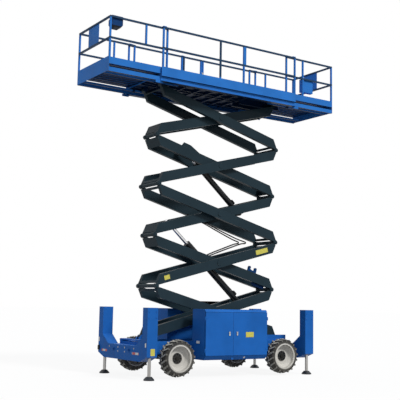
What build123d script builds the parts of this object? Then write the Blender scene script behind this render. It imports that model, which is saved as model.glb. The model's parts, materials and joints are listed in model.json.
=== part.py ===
from build123d import *
import math
import os

os.makedirs("parts", exist_ok=True)

# A diesel rough-terrain scissor lift, in millimetres. X runs along the machine with its
# front at -X, -Y is the near side, Z is up, and the outrigger feet stand on Z = 0.
# The scissor is held at the slope below, with both deck extensions run out.

# Running gear
WHEELBASE = 3000
TYRE_DIAMETER = 840
TYRE_WIDTH = 300
WHEEL_RAISED = 35            # the outriggers lift the tyres this far off the ground
TRACK = 1960                 # between the middle planes of the tyres
RIM_LIP_DIAMETER = 608
RIM_BARREL_DIAMETER = 570
RIM_WALL = 12
RIM_LIP_INSET = 8            # lip to the tyre's side
RIM_CONE = 62                # length of the cone between the rim's wall and its disc
DISC_DIAMETER = 400
CARCASS_SIDES = 24           # flats round the tyre's body
LIP_ROOM = 5                 # sidewall's edge over the rim's lip
LUG_HEIGHT = 32
LUG_COUNT = 18               # on each side of the tread, half a pitch apart
LUG_WIDTH = 48
LUG_SLANT = 70               # a lug's outer end behind its inner end
LUG_OVERLAP = 12             # its inner end past the tread's middle line
LUG_SIDE = 6                 # its outer end proud of the sidewall
LUG_SINK = 10                # a lug's root inside the tyre's body
CARCASS_BEVEL = 45           # the body's bevelled shoulder, across and down
CARCASS_DROP = 36
LUG_FOOT_RADIUS = 345        # and how far down the sidewall it reaches
SHOULDER_RADIUS = 380        # a lug's outer corner
TREAD_BEVEL = 20
DISC_THICK = 16
HUB_DIAMETER = 240
HUB_DEPTH = 50
HUB_FACE = 20                # hub face outside the tyre's middle plane
HUB_CAP = 12
SPINDLE_DIAMETER = 80
SPINDLE_GAP = 4              # spindle's end to the hub's cap
MOTOR_GAP = 8                # hub motor to the back of the hub
KINGPIN_OFFSET = 200         # kingpin inboard of the tyre's middle plane
KINGPIN_DIAMETER = 50
KNUCKLE_HEIGHT = 160
KNUCKLE_WEB = 30
YOKE_THICK = 36
YOKE_RADIUS = 50
YOKE_END_GAP = 12
YOKE_TO_MOTOR = 10
YOKE_RISER = 60
AXLE_SECTION = 120
AXLE_SEAT = 80
REAR_AXLE_SHORT = 120        # rear axle's end inboard of the tyre's middle plane
MOTOR_SINK = 40              # length of a hub motor inside what carries it
HUB_MOTOR_DIAMETER = 220

# Chassis
BEAM_INNER_Y = 446
BEAM_OUTER_Y = 560
BEAM_BOTTOM = 520
BEAM_TOP = 810
DECKING_DROP = 40            # cross plates under the top of the beams
PLATE = 16                   # structural plate
END_PLATE_START = 1500       # the cross plates at both ends, from here to the bumpers
MIDDLE_PLATES = [(-500, -300), (500, 700)]           # start and end of the others
COWL_LENGTH = 150            # cover over the chassis behind the front bumper
COWL_HALF_WIDTH = 600
COWL_RISE = 30
COWL_CORNER = 60
BRACKET_TO_FRONT = 90        # the scissor's base brackets, each way from their pins
BRACKET_TO_REAR = 70
TRACK_LENGTH_BACK = 1000     # roller channels, back from the roller as it stands
TRACK_LENGTH_PAST = 40       # and on past its place when the scissor is flat

# Outriggers
LEG_X = 2249
LEG_Y = 1045
POST_LENGTH = 260
POST_WIDTH = 210
POST_TOP = 1567
POST_BOTTOM = 500
BUMPER_BOTTOM = 390
TIE_DOWN_Y = 360
TIE_DOWN_Z = 615
TIE_DOWN_RADIUS = 22
TIE_DOWN_RING = 14           # wall of the ring round a tie-down hole
TIE_DOWN_DEPTH = 20
BUMPER_TOP = 720
BUMPER_FLAT_HALF = 850       # bottom of the bumper, before its bevelled corners
SADDLE_HALF = 650            # top of the bumper between its gussets
GUSSET_TOP = 930
LEG_DIAMETER = 74
SLIDE_FIT = 0.5              # radial play of a leg or rod, and over a wear pad
LEG_TOP = 1150
FOOT_DIAMETER = 240
FOOT_NECK_DIAMETER = 130
FOOT_HEIGHT = 80
FOOT_RIM = 22
POST_CAP = 24

# Side housings
HOUSING_FRONT = -820
HOUSING_REAR = 960
HOUSING_FACE_Y = 1106
HOUSING_BOTTOM = 400
HOUSING_TOP = 1550
HOUSING_WALL = 6
HOUSING_TOP_CREASE = 1492
HOUSING_TOP_BEVEL = 52
HOUSING_LOW_CREASE = 495
HOUSING_LOW_BEVEL = 80
DOOR_SEAM_X = -40
DOOR_THICK = 30
DOOR_GAP = 6
DOOR_BACK_GAP = 10
DOOR_END_GAP = 2
DOOR_SKIN = 4
SEAM_POST = 60
HINGE_RADIUS = 10
HINGE_LENGTH = 80
HINGE_LEAF = 60
HINGE_WEB = 5
HINGE_FIT = 0.3
HINGE_LOW_Z = 620
HINGE_HIGH_Z = 1345
LATCH_SIZE = 60
LATCH_INSET = 110            # latch's middle from the door's free edge
LATCH_PROUD = 4
LADDER_FRONT = -400
LADDER_REAR = 200
RECESS_DEPTH = 150
RUNG_DIAMETER = 30
RUNG_COUNT = 4
RUNG_START = 0.4             # height of the lowest rung, in rung pitches
ENGINE_FRONT = 60
ENGINE_REAR = 860
ENGINE_HEIGHT = 720
ENGINE_BACK_GAP = 80
ENGINE_FACE_GAP = 130
BATTERY_BOX_FRONT = 330      # the black box on top of the far housing
BATTERY_BOX_HEIGHT = 190
BATTERY_BOX_WIDTH = 330
BATTERY_BOX_INSET = 40       # from the housing's end and back
BATTERY_LID = 24
BATTERY_LID_OVER = 10

# Scissor
STAGES = 5
BASE_PIN_Z = 875
PIN_HALF_SPAN = 1740         # half the distance between the end pins, as it stands
STAGE_RISE = 1191            # rise of one stage, as it stands
ARM_DEPTH = 230
ARM_WIDTH = 100
OUTER_ARM_Y = 441            # outer faces of the outer arms
INNER_ARM_Y = 303            # outer faces of the inner arms
EDGE_TO_PIN = 10             # an end pin's axis beyond the arm's edge
ARM_BEVEL = 187
BEVEL_START = 25             # bevel begins this far past the pin
STRIP_START = 0.24           # where a cross plate starts on the bevel, as a share of it
STRIP_START_AT_END = 0.36    # the same beside a roller channel or a base bracket
OUTER_STRIP_END = 0.45       # and where it ends on the outer arms
EAR_RADIUS = 55
EAR_CLEAR = 10
LAP_GAP = 5
RUNNING_GAP = 5              # between pieces that pass each other
LUG_RADIUS = 62
PIN_DIAMETER = 50
PIN_CLEAR = 0.6
PIN_HEAD = 8
PIN_HEAD_OVER = 12           # head's radius over the pin's
CROSS_TUBE_RADIUS = 45
CENTRE_PIN_RADIUS = 40
CENTRE_BOSS_RADIUS = 75
CENTRE_CAP_RADIUS = 62
CENTRE_CAP = 10
END_PLATE = 12
ROLLER_RADIUS = 50
ROLLER_WIDTH = 52
TRACK_GAP = 5                # roller to its channel
TRACK_WALL = 10

# Lift cylinders: each pin's place along and above the middle line of its stage's inner arms
LOW_BASE_STAGE = 1
LOW_BASE_ALONG = 955
LOW_BASE_ABOVE = -29
LOW_EYE_STAGE = 3
LOW_EYE_ALONG = -1244
LOW_EYE_ABOVE = 72
HIGH_BASE_STAGE = 3
HIGH_BASE_ALONG = 854
HIGH_BASE_ABOVE = -97
HIGH_EYE_STAGE = 4
HIGH_EYE_ALONG = 926
HIGH_EYE_ABOVE = 173
LOW_BARREL_DIAMETER = 150
HIGH_BARREL_DIAMETER = 130
ROD_DIAMETER = 85
LOW_BARREL_LENGTH = 2150
HIGH_BARREL_LENGTH = 1730
GLAND_LENGTH = 60
GLAND_PROUD = 12
ROD_EYE_RADIUS = 60
ROD_EYE_WIDTH = 100
BASE_EYE_RADIUS = 80
BASE_EYE_WIDTH = 140
CYLINDER_PIN_RADIUS = 35
EYE_WELD = 20                # barrel's start inside its base eye
BRACKET_TAIL = 720           # the upper rod eye's plates, along the arm each way
BRACKET_NOSE = 190
BRACKET_CREST_HALF = 100
BRACKET_CREST = 77           # their crest over the eye's pin
BRACKET_SINK = 65            # their foot under the arm's edge
BRACKET_SEAT_INSET = 20
BORE_START = 110             # bottom of a barrel's bore from its base pin
LOW_STROKE_BACK = 645        # from here to flat
HIGH_STROKE_BACK = 443
ROD_END_ROOM = 20

# Maintenance prop, stowed on the near inner arm of one stage
PROP_STAGE = 2
PROP_THICK = 45
PROP_FOOT_START = 200        # its foot, along the arm from the lower pin
PROP_FOOT_END = 510
PROP_FOOT_DEEP = 65          # and under the arm
PROP_FOOT_HIGH = 85
PROP_FORK_START = 560        # its fork, along the arm from the lower pin
PROP_FORK_END = 750
PROP_FORK_LOW = 60
PROP_FORK_HIGH = 235         # the middles of its two lobes, over the arm's middle line
PROP_LOBE_RADIUS = 36
PROP_NOTCH = 60

# Platform
DECK_FRONT = -2000
DECK_REAR = 2030
DECK_HALF_WIDTH = 860
FLOOR_OVER_PIN = 65          # underside of the floor over the top pins
FLOOR_THICK = 35
TREAD_PLATE = 3              # the plate people stand on, let in from the floor's edges
TREAD_PLATE_INSET = 60
TOE_TOP_OVER_FLOOR = 170
SHEET = 6
TOE_LIP = 22                 # folded edge of the extensions' toe boards
CHANNEL_DEPTH = 125
CHANNEL_FLANGE = 130
CHANNEL_RECESS = 50          # its web behind the deck's edge
CHANNEL_WALL = 8
CHANNEL_DROP = 10            # channel's top under the floor
ROLLER_BRACKET_REACH = 130   # the slide beams' rollers, out from the deck's ends
ROLLER_BRACKET_DROP = 45
SLIDE_ROLLER_RADIUS = 20
SLIDE_ROLLERS = [45, 100]    # each roller's place from the deck's end
DECK_MEMBERS = [-1500, -1070, -640, -300, 40, 370, 700]     # X of each cross member
MEMBER_WIDTH = 50
MEMBER_DEPTH = 55
STRINGERS = [60, 580]        # Y of each long member under the floor
STRINGER_WIDTH = 40
STRINGER_DEPTH = 40
RAIL_SIZE = 40               # square tube
TOP_RAIL_OVER_FLOOR = 1110
MID_RAIL_OVER_FLOOR = 620
RAILS_FROM_FRONT = 40        # the end posts, from each end of the deck
RAILS_FROM_REAR = 20
NEAR_POSTS = [-336, 370]     # X of the posts between them
DOUBLED_POST = 370           # the one with a second tube beside its upper half
GUIDE_LENGTH = 90            # the hooks over the extensions' top rails
GUIDE_GAP = 7
GUIDE_WALL = 8
FRONT_SHORT_POST = 400       # extension posts between the top and mid rails, past the deck
REAR_FULL_POST = 295
END_PANEL_NEAR = 220         # blank panel in each end rail, near and far of the middle
END_PANEL_FAR = 310
STORAGE_BOX_START = 290      # box on the rear extension, past the deck
STORAGE_BOX_LENGTH = 370
STORAGE_BOX_HEIGHT = 340
STORAGE_BOX_DEPTH = 110
EXTENSION_REACH = 1345       # the front extension's end beyond the main deck
FRONT_EXTENSION_LAP = 170    # each extension floor over the main floor
REAR_EXTENSION_LAP = 260
EXTENSION_SIDE_GAP = 9
EXTENSION_FLOOR_GAP = 12
EXTENSION_FLOOR = 18
EXTENSION_SHEET = 6
EXTENSION_RIBS = [75, 225, 375, 525, 675]      # Y of each rib under the sheet
RIB_WIDTH = 40
INNER_BEAM_Y = 500
INNER_BEAM_DEPTH = 48
SLIDE_BEAM_LAP = 650
SLIDE_BEAM_WIDTH = 45
SLIDE_GAP = 7                # slide beam to the channel round it
WEAR_PAD = 120
END_PLATE_OVER = 20
END_PLATE_FOOT = 25
GATE_FRONT = -334
GATE_REAR = 200
GATE_POST_GAP = 60
GATE_OVER_TOE = 37
GATE_LOW_RAIL = 60           # lowest rail over the toe boards
GATE_LUG = 10
GATE_LUG_RADIUS = 16
CONTROL_FROM_TIP = 75        # control box, from the front extension's end
CONTROL_LENGTH = 270
CONTROL_DEPTH = 190
CONTROL_BELOW = 225          # under and over the top rail's middle line
CONTROL_ABOVE = 45
CONTROL_TAPER = 60           # its foot, shorter at both ends
CONTROL_TAPER_HEIGHT = 70
CONTROL_SLOPE = 90           # its panel falls towards the deck
CONTROL_BACK = 40            # flat top between the rail and the slope
CUT_PAST = 1                 # how far a cut runs past a face


def block(x0, x1, y0, y1, z0, z1):
    """A block between two planes in each direction."""
    centre = Pos((x0 + x1) / 2, (y0 + y1) / 2, (z0 + z1) / 2)
    return centre * Box(abs(x1 - x0), abs(y1 - y0), abs(z1 - z0))


def rod_x(y, z, radius, x0, x1):
    """A round bar along X."""
    return Pos((x0 + x1) / 2, y, z) * Rot(0, 90, 0) * Cylinder(radius, abs(x1 - x0))


def rod_y(x, z, radius, y0, y1):
    """A round bar along Y."""
    return Pos(x, (y0 + y1) / 2, z) * Rot(90, 0, 0) * Cylinder(radius, abs(y1 - y0))


def rod_z(x, y, radius, z0, z1):
    """A round bar along Z."""
    return Pos(x, y, (z0 + z1) / 2) * Cylinder(radius, abs(z1 - z0))


def plate_xz(outline, y0, y1):
    """An outline in X and Z, thick from y0 to y1."""
    points = [(x, min(y0, y1), z) for x, z in outline]
    return extrude(make_face(Polyline(*points, close=True)), abs(y1 - y0), dir=(0, 1, 0))


def plate_yz(outline, x0, x1):
    """An outline in Y and Z, thick from x0 to x1."""
    points = [(min(x0, x1), y, z) for y, z in outline]
    return extrude(make_face(Polyline(*points, close=True)), abs(x1 - x0), dir=(1, 0, 0))


def both_sides(piece):
    """A piece with its twin across the middle plane."""
    return piece + mirror(piece, about=Plane.XZ)


def save(piece, name):
    export_step(piece, f"parts/{name}.step")


# --- Wheels -----------------------------------------------------------------------------

WHEEL_Z = TYRE_DIAMETER / 2 + WHEEL_RAISED
WHEEL_Y = TRACK / 2
# name, X, side: -1 near, 1 far
WHEELS = [("near_front", -WHEELBASE / 2, -1), ("far_front", -WHEELBASE / 2, 1),
          ("near_rear", WHEELBASE / 2, -1), ("far_rear", WHEELBASE / 2, 1)]


def revolved(profile):
    """A ring about Y from an outline in radius and offset along Y."""
    points = [(radius, offset, 0) for radius, offset in profile]
    return revolve(make_face(Polyline(*points, close=True)), axis=Axis.Y)


def flats(apothem, y0, y1, taper=0):
    """A bar along Y with flat sides, drawn in by a taper towards y1."""
    section = RegularPolygon(apothem, CARCASS_SIDES, major_radius=False)
    return Pos(0, y0, 0) * Rot(-90, 0, 0) * extrude(section, y1 - y0, taper=taper)


def make_lug():
    """One tread bar on the outer half, lying across the top of the tyre."""
    half = TYRE_WIDTH / 2
    reach = (LUG_SLANT + LUG_WIDTH) / 2
    top = math.sqrt((TYRE_DIAMETER / 2) ** 2 - reach ** 2)
    root = TYRE_DIAMETER / 2 - LUG_HEIGHT - LUG_SINK
    section = [(-LUG_OVERLAP, root), (-LUG_OVERLAP, top), (half - TREAD_BEVEL, top),
               (half, SHOULDER_RADIUS), (half, LUG_FOOT_RADIUS),
               (half - LUG_SIDE - LUG_SINK, LUG_FOOT_RADIUS), (half - CARCASS_BEVEL - LUG_SINK, root)]
    across = plate_yz(section, -reach, reach)
    plan = [(-reach, -LUG_OVERLAP, LUG_FOOT_RADIUS), (LUG_WIDTH - reach, -LUG_OVERLAP, LUG_FOOT_RADIUS),
            (reach, half, LUG_FOOT_RADIUS), (reach - LUG_WIDTH, half, LUG_FOOT_RADIUS)]
    slanted = extrude(make_face(Polyline(*plan, close=True)), top - LUG_FOOT_RADIUS, dir=(0, 0, 1))
    return across & slanted


def make_tyre():
    """A tyre about the origin, its axle along Y, with slanted lugs over both shoulders."""
    half = TYRE_WIDTH / 2 - LUG_SIDE
    tread = TYRE_DIAMETER / 2 - LUG_HEIGHT
    seat_end = TYRE_WIDTH / 2 - RIM_LIP_INSET - RIM_WALL
    flank_taper = math.degrees(math.atan2(CARCASS_DROP, CARCASS_BEVEL))
    body = flats(tread, 0, half - CARCASS_BEVEL) + flats(tread, half - CARCASS_BEVEL, half, flank_taper)
    body -= flats(RIM_LIP_DIAMETER / 2 + LIP_ROOM, seat_end, half + CUT_PAST)
    body -= flats(RIM_BARREL_DIAMETER / 2, -CUT_PAST, half)
    outer_lug = make_lug()
    inner_lug = mirror(outer_lug, about=Plane.XZ)
    pitch = 360 / LUG_COUNT
    lugs = [Rot(0, pitch * index, 0) * outer_lug for index in range(LUG_COUNT)]
    lugs += [Rot(0, pitch * (index + 0.5), 0) * inner_lug for index in range(LUG_COUNT)]
    return both_sides(body) + lugs


def make_rim():
    """A deep-dished rim and hub about the origin, its outer face towards +Y."""
    half = TYRE_WIDTH / 2 - RIM_LIP_INSET
    barrel = RIM_BARREL_DIAMETER / 2
    wall = barrel - RIM_WALL
    lip = RIM_LIP_DIAMETER / 2
    disc = DISC_DIAMETER / 2
    hub = HUB_DIAMETER / 2
    bore = SPINDLE_DIAMETER / 2 + PIN_CLEAR / 2
    disc_outer = HUB_FACE - HUB_CAP
    disc_inner = disc_outer - DISC_THICK
    profile = [(lip, half), (wall, half), (wall, disc_outer + RIM_CONE), (disc, disc_outer),
               (bore, disc_outer), (bore, disc_outer - HUB_DEPTH), (hub, disc_outer - HUB_DEPTH),
               (disc, disc_inner), (wall, disc_inner + RIM_CONE), (wall, -half), (lip, -half),
               (lip, -half + RIM_WALL), (barrel, -half + RIM_WALL), (barrel, half - RIM_WALL),
               (lip, half - RIM_WALL)]
    return revolved(profile) + rod_y(0, 0, hub, disc_outer, HUB_FACE)


def place_wheel(piece, x, side):
    """Stand a wheel at its axle, its outer face outwards and its lugs pointing the same way."""
    turned = piece if side > 0 else mirror(piece, about=Plane.XZ)
    return Pos(x, side * WHEEL_Y, WHEEL_Z) * turned


# --- Axles and steering -----------------------------------------------------------------

KINGPIN_Y = WHEEL_Y - KINGPIN_OFFSET
SPINDLE_END = HUB_FACE - HUB_CAP - SPINDLE_GAP


def make_spindle(start_y):
    """The hub motor and spindle on the far side, from start_y out into the rim."""
    motor_end = WHEEL_Y + HUB_FACE - HUB_CAP - HUB_DEPTH - MOTOR_GAP
    motor = rod_y(0, WHEEL_Z, HUB_MOTOR_DIAMETER / 2, start_y, motor_end)
    spindle = rod_y(0, WHEEL_Z, SPINDLE_DIAMETER / 2, start_y, WHEEL_Y + SPINDLE_END)
    return motor + spindle


def make_seat(x, side):
    """The block between an axle and the chassis beam over it."""
    half = AXLE_SECTION / 2
    y = side * (BEAM_INNER_Y + BEAM_OUTER_Y) / 2
    return block(x - half, x + half, y - AXLE_SEAT / 2, y + AXLE_SEAT / 2, WHEEL_Z, BEAM_BOTTOM)


def make_front_axle():
    """A steered axle: beam, yokes at its ends and seats under the chassis beams."""
    half = AXLE_SECTION / 2
    x = -WHEELBASE / 2
    yoke_low = KNUCKLE_HEIGHT / 2 + RUNNING_GAP
    beam_end = KINGPIN_Y - YOKE_RADIUS - YOKE_END_GAP
    axle = block(x - half, x + half, -beam_end, beam_end, WHEEL_Z - half, WHEEL_Z + half)
    for side in (-1, 1):
        y = side * KINGPIN_Y
        riser = block(x - half, x + half, side * beam_end, side * (beam_end - YOKE_RISER),
                      WHEEL_Z - yoke_low - YOKE_THICK, WHEEL_Z + yoke_low + YOKE_THICK)
        axle += riser
        for level in (-1, 1):
            z0 = WHEEL_Z + level * yoke_low
            z1 = z0 + level * YOKE_THICK
            arm = block(x - half, x + half, side * (beam_end - YOKE_RISER), y, z0, z1)
            lug = arm + rod_z(x, y, half, z0, z1)
            axle += lug - rod_z(x, y, KINGPIN_DIAMETER / 2 + PIN_CLEAR, z0, z1)
        axle += make_seat(x, side)
    return axle


def make_knuckle(side):
    """One steering knuckle with its kingpin, hub motor and spindle."""
    low = WHEEL_Z - KNUCKLE_HEIGHT / 2
    high = WHEEL_Z + KNUCKLE_HEIGHT / 2
    yoke = RUNNING_GAP + YOKE_THICK
    kingpin = rod_z(0, KINGPIN_Y, KINGPIN_DIAMETER / 2, low - yoke, high + yoke)
    body = rod_z(0, KINGPIN_Y, YOKE_RADIUS, low, high)
    web_end = KINGPIN_Y + YOKE_RADIUS + KNUCKLE_WEB
    web = block(-YOKE_RADIUS, YOKE_RADIUS, KINGPIN_Y, web_end, low, high)
    motor_start = KINGPIN_Y + AXLE_SECTION / 2 + YOKE_TO_MOTOR
    knuckle = kingpin + body + web + make_spindle(motor_start)
    placed = Pos(-WHEELBASE / 2, 0, 0) * knuckle
    return placed if side > 0 else mirror(placed, about=Plane.XZ)


def make_rear_axle():
    """A plain driven axle with its spindles and seats under the chassis beams."""
    half = AXLE_SECTION / 2
    x = WHEELBASE / 2
    end = WHEEL_Y - REAR_AXLE_SHORT
    axle = block(x - half, x + half, -end, end, WHEEL_Z - half, WHEEL_Z + half)
    axle += both_sides(Pos(x, 0, 0) * make_spindle(end - MOTOR_SINK))
    for side in (-1, 1):
        axle += make_seat(x, side)
    return axle


# --- Scissor ----------------------------------------------------------------------------

HALF_DEPTH = ARM_DEPTH / 2
PIN_OFFSET = HALF_DEPTH + EDGE_TO_PIN
PIN_RADIUS_FROM_CENTRE = math.hypot(PIN_HALF_SPAN, STAGE_RISE / 2)
HALF_ARM = math.sqrt(PIN_RADIUS_FROM_CENTRE ** 2 - PIN_OFFSET ** 2)
PIN_LINE = math.degrees(math.atan2(STAGE_RISE / 2, PIN_HALF_SPAN))
ARM_SLOPE = PIN_LINE - math.degrees(math.atan2(PIN_OFFSET, HALF_ARM))
TOP_PIN_Z = BASE_PIN_Z + STAGES * STAGE_RISE
INNER_FACE = {"outer": OUTER_ARM_Y - ARM_WIDTH, "inner": INNER_ARM_Y - ARM_WIDTH}
OUTER_FACE = {"outer": OUTER_ARM_Y, "inner": INNER_ARM_Y}


def arm_rises_right(kind, stage):
    """Inner arms of odd stages rise towards +X, and outer arms of even ones."""
    return (stage % 2 == 1) == (kind == "inner")


def place_arm(piece, kind, stage):
    """Lay a piece drawn along its arm, its middle at the origin, on its stage."""
    sloped = Rot(0, -ARM_SLOPE, 0) * piece
    if not arm_rises_right(kind, stage):
        sloped = mirror(sloped, about=Plane.YZ)
    return Pos(0, 0, BASE_PIN_Z + (stage - 0.5) * STAGE_RISE) * sloped


def arm_point(along_above, kind, stage):
    """Where a point drawn along an arm lies on the machine, as X and Z."""
    along, above = along_above
    slope = math.radians(ARM_SLOPE)
    x = along * math.cos(slope) - above * math.sin(slope)
    z = along * math.sin(slope) + above * math.cos(slope)
    if not arm_rises_right(kind, stage):
        x = -x
    return (x, z + BASE_PIN_Z + (stage - 0.5) * STAGE_RISE)


def bevel_point(end, share, inward):
    """A point on an end's bevel (-1 lower, 1 upper end), pushed inward by a distance."""
    length = math.hypot(ARM_BEVEL, ARM_DEPTH)
    along = HALF_ARM + BEVEL_START - share * ARM_BEVEL - inward * ARM_DEPTH / length
    above = HALF_DEPTH - share * ARM_DEPTH + inward * ARM_BEVEL / length
    return (end * along, end * above)


def bevel_strip(end, share0, share1, half_width):
    """A cross plate in the plane of an end's bevel."""
    outline = [bevel_point(end, share0, 0), bevel_point(end, share1, 0),
               bevel_point(end, share1, END_PLATE), bevel_point(end, share0, END_PLATE)]
    return plate_xz(outline, -half_width, half_width)


def make_arms(kind, stage):
    """One welded frame: two arms, their ears and pins, and the members across."""
    y_in = INNER_FACE[kind]
    y_out = OUTER_FACE[kind]
    y_mid = (y_in + y_out) / 2
    corner = HALF_ARM + BEVEL_START
    outline = [(-corner, -HALF_DEPTH), (corner - ARM_BEVEL, -HALF_DEPTH),
               (corner, HALF_DEPTH), (-corner + ARM_BEVEL, HALF_DEPTH)]
    arm = plate_xz(outline, y_in, y_out)
    pin_hole = PIN_DIAMETER / 2 + PIN_CLEAR
    # end, whether its ear takes the whole width, and the half width it takes otherwise
    ends = [(-1, stage == 1, (y_mid + LAP_GAP / 2, y_out)),
            (1, stage == STAGES, (y_in, y_mid - LAP_GAP / 2))]
    for end, whole, half_lane in ends:
        pin = (end * HALF_ARM, end * PIN_OFFSET)
        lane = (y_in, y_out) if whole else half_lane
        room = rod_y(*pin, EAR_RADIUS + EAR_CLEAR, y_in - CUT_PAST, y_out + CUT_PAST)
        room -= rod_y(*pin, EAR_RADIUS + EAR_CLEAR, *lane)
        arm = arm - room + rod_y(*pin, EAR_RADIUS, *lane)
    low_pin = (-HALF_ARM, -PIN_OFFSET)
    high_pin = (HALF_ARM, PIN_OFFSET)
    if kind == "outer" and stage == 1:
        arm += rod_y(*low_pin, ROLLER_RADIUS, y_out, y_out + ROLLER_WIDTH)
    else:
        arm -= rod_y(*low_pin, pin_hole, y_in - CUT_PAST, y_out + CUT_PAST)
    if kind == "inner" and stage == STAGES:
        arm += rod_y(*high_pin, ROLLER_RADIUS, y_in - ROLLER_WIDTH, y_in)
    elif stage == STAGES:
        arm -= rod_y(*high_pin, pin_hole, y_in - CUT_PAST, y_out + CUT_PAST)
    else:
        head_start = y_out + PIN_CLEAR
        arm += rod_y(*high_pin, PIN_DIAMETER / 2, y_in, head_start)
        head_radius = PIN_DIAMETER / 2 + PIN_HEAD_OVER
        arm += rod_y(*high_pin, head_radius, head_start, head_start + PIN_HEAD)
    if kind == "outer":
        arm -= rod_y(0, 0, CENTRE_PIN_RADIUS + PIN_CLEAR, y_in - CUT_PAST, y_out + CUT_PAST)
    else:
        cap_start = OUTER_ARM_Y + PIN_CLEAR
        arm += rod_y(0, 0, CENTRE_PIN_RADIUS, y_out, cap_start)
        arm += rod_y(0, 0, CENTRE_BOSS_RADIUS, y_out, INNER_FACE["outer"] - PIN_CLEAR)
        arm += rod_y(0, 0, CENTRE_CAP_RADIUS, cap_start, cap_start + CENTRE_CAP)
    frame = both_sides(arm)
    if stage < STAGES:
        frame += rod_y(*high_pin, CROSS_TUBE_RADIUS, -y_in, y_in)
    strip_end = OUTER_STRIP_END if kind == "outer" else 1
    for end, at_end in ((-1, stage == 1), (1, stage == STAGES)):
        frame += bevel_strip(end, STRIP_START_AT_END if at_end else STRIP_START, strip_end, y_in)
    if kind == "inner":
        for spot, on_stage, gap in CYLINDER_PINS:
            if on_stage == stage and gap == 0:
                frame += rod_y(*spot, CYLINDER_PIN_RADIUS, -y_in, y_in)
            elif on_stage == stage:
                frame += both_sides(rod_y(*spot, CYLINDER_PIN_RADIUS, gap, y_in))
                frame += both_sides(rod_y(*spot, LUG_RADIUS, gap, gap + PLATE))
        if stage == HIGH_EYE_STAGE:
            frame += make_eye_bracket(y_in)
    return place_arm(frame, kind, stage)


LOW_BASE = (LOW_BASE_ALONG, LOW_BASE_ABOVE)
LOW_EYE = (LOW_EYE_ALONG, LOW_EYE_ABOVE)
HIGH_BASE = (HIGH_BASE_ALONG, HIGH_BASE_ABOVE)
HIGH_EYE = (HIGH_EYE_ALONG, HIGH_EYE_ABOVE)
# where a cylinder is pinned on a stage's inner arms; a rod eye turns between two half pins
EYE_GAP = ROD_EYE_WIDTH / 2 + SLIDE_FIT
# place on the arms, stage, gap between the half pins
CYLINDER_PINS = [(LOW_BASE, LOW_BASE_STAGE, 0), (LOW_EYE, LOW_EYE_STAGE, EYE_GAP),
                 (HIGH_BASE, HIGH_BASE_STAGE, 0), (HIGH_EYE, HIGH_EYE_STAGE, EYE_GAP)]


def make_eye_bracket(arm_face):
    """The raised plates on inner arms 4 that carry the upper cylinder's rod eye."""
    along, above = HIGH_EYE
    foot = HALF_DEPTH - BRACKET_SINK
    crest = above + BRACKET_CREST
    outline = [(along - BRACKET_TAIL, foot), (along + BRACKET_NOSE, foot),
               (along + BRACKET_CREST_HALF, crest), (along - BRACKET_CREST_HALF, crest)]
    face = arm_face - RUNNING_GAP
    plate = plate_xz(outline, face - PLATE, face)
    seat = block(along - BRACKET_TAIL + BRACKET_SEAT_INSET, along + BRACKET_NOSE - BRACKET_SEAT_INSET,
                 face, arm_face, foot, HALF_DEPTH - RUNNING_GAP)
    return both_sides(plate + seat)


def make_prop():
    """The maintenance prop: a foot under the near inner arm, and a two-lobed fork over it."""
    seat = -INNER_FACE["inner"]
    face = seat + RUNNING_GAP
    pin = -HALF_ARM
    fork_start = pin + PROP_FORK_START
    fork_end = pin + PROP_FORK_END
    edge = PROP_LOBE_RADIUS
    outline = [(pin + PROP_FOOT_START, -HALF_DEPTH - PROP_FOOT_DEEP),
               (pin + PROP_FOOT_END, -HALF_DEPTH - PROP_FOOT_DEEP),
               (fork_end + edge, PROP_FORK_LOW), (fork_end + edge, PROP_FORK_HIGH),
               ((fork_start + fork_end) / 2, PROP_FORK_HIGH - PROP_NOTCH),
               (fork_start - edge, PROP_FORK_HIGH), (fork_start - edge, PROP_FORK_LOW),
               (pin + PROP_FOOT_START, -HALF_DEPTH + PROP_FOOT_HIGH)]
    prop = plate_xz(outline, face, face + PROP_THICK)
    for along in (fork_start, fork_end):
        prop += rod_y(along, PROP_FORK_HIGH, edge, face, face + PROP_THICK)
    arm_side = block(pin, fork_end + edge, seat, face, -HALF_DEPTH, HALF_DEPTH)
    prop += plate_xz(outline, seat, face) & arm_side
    return place_arm(prop, "inner", PROP_STAGE)


# --- Lift cylinders ---------------------------------------------------------------------

def between(piece, start, goal):
    """Turn a piece drawn along +X from the origin to lie from start towards goal."""
    angle = math.degrees(math.atan2(goal[1] - start[1], goal[0] - start[0]))
    return Pos(start[0], 0, start[1]) * Rot(0, -angle, 0) * piece


def make_barrel(diameter, length):
    """A barrel along +X with its base eye at the origin and a gland at its mouth."""
    bore = ROD_DIAMETER / 2 + SLIDE_FIT
    barrel = rod_x(0, 0, diameter / 2, BASE_EYE_RADIUS - EYE_WELD, length)
    barrel += rod_x(0, 0, diameter / 2 + GLAND_PROUD, length - GLAND_LENGTH, length)
    half = BASE_EYE_WIDTH / 2
    barrel += rod_y(0, 0, BASE_EYE_RADIUS, -half, half)
    barrel -= rod_y(0, 0, CYLINDER_PIN_RADIUS + PIN_CLEAR, -half - CUT_PAST, half + CUT_PAST)
    return barrel - rod_x(0, 0, bore, BORE_START, length + CUT_PAST)


def make_rod(eye_at, start):
    """A rod along +X from inside its barrel to the eye at its end."""
    rod = rod_x(0, 0, ROD_DIAMETER / 2, start, eye_at - ROD_EYE_RADIUS / 2)
    return rod + rod_y(eye_at, 0, ROD_EYE_RADIUS, -ROD_EYE_WIDTH / 2, ROD_EYE_WIDTH / 2)


# --- Chassis ----------------------------------------------------------------------------

BUMPER_BACK = LEG_X - POST_LENGTH / 2      # where the outrigger beams meet the chassis
FOLDED_REACH = HALF_ARM * 2 - PIN_HALF_SPAN      # a roller's place when the scissor is flat


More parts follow.
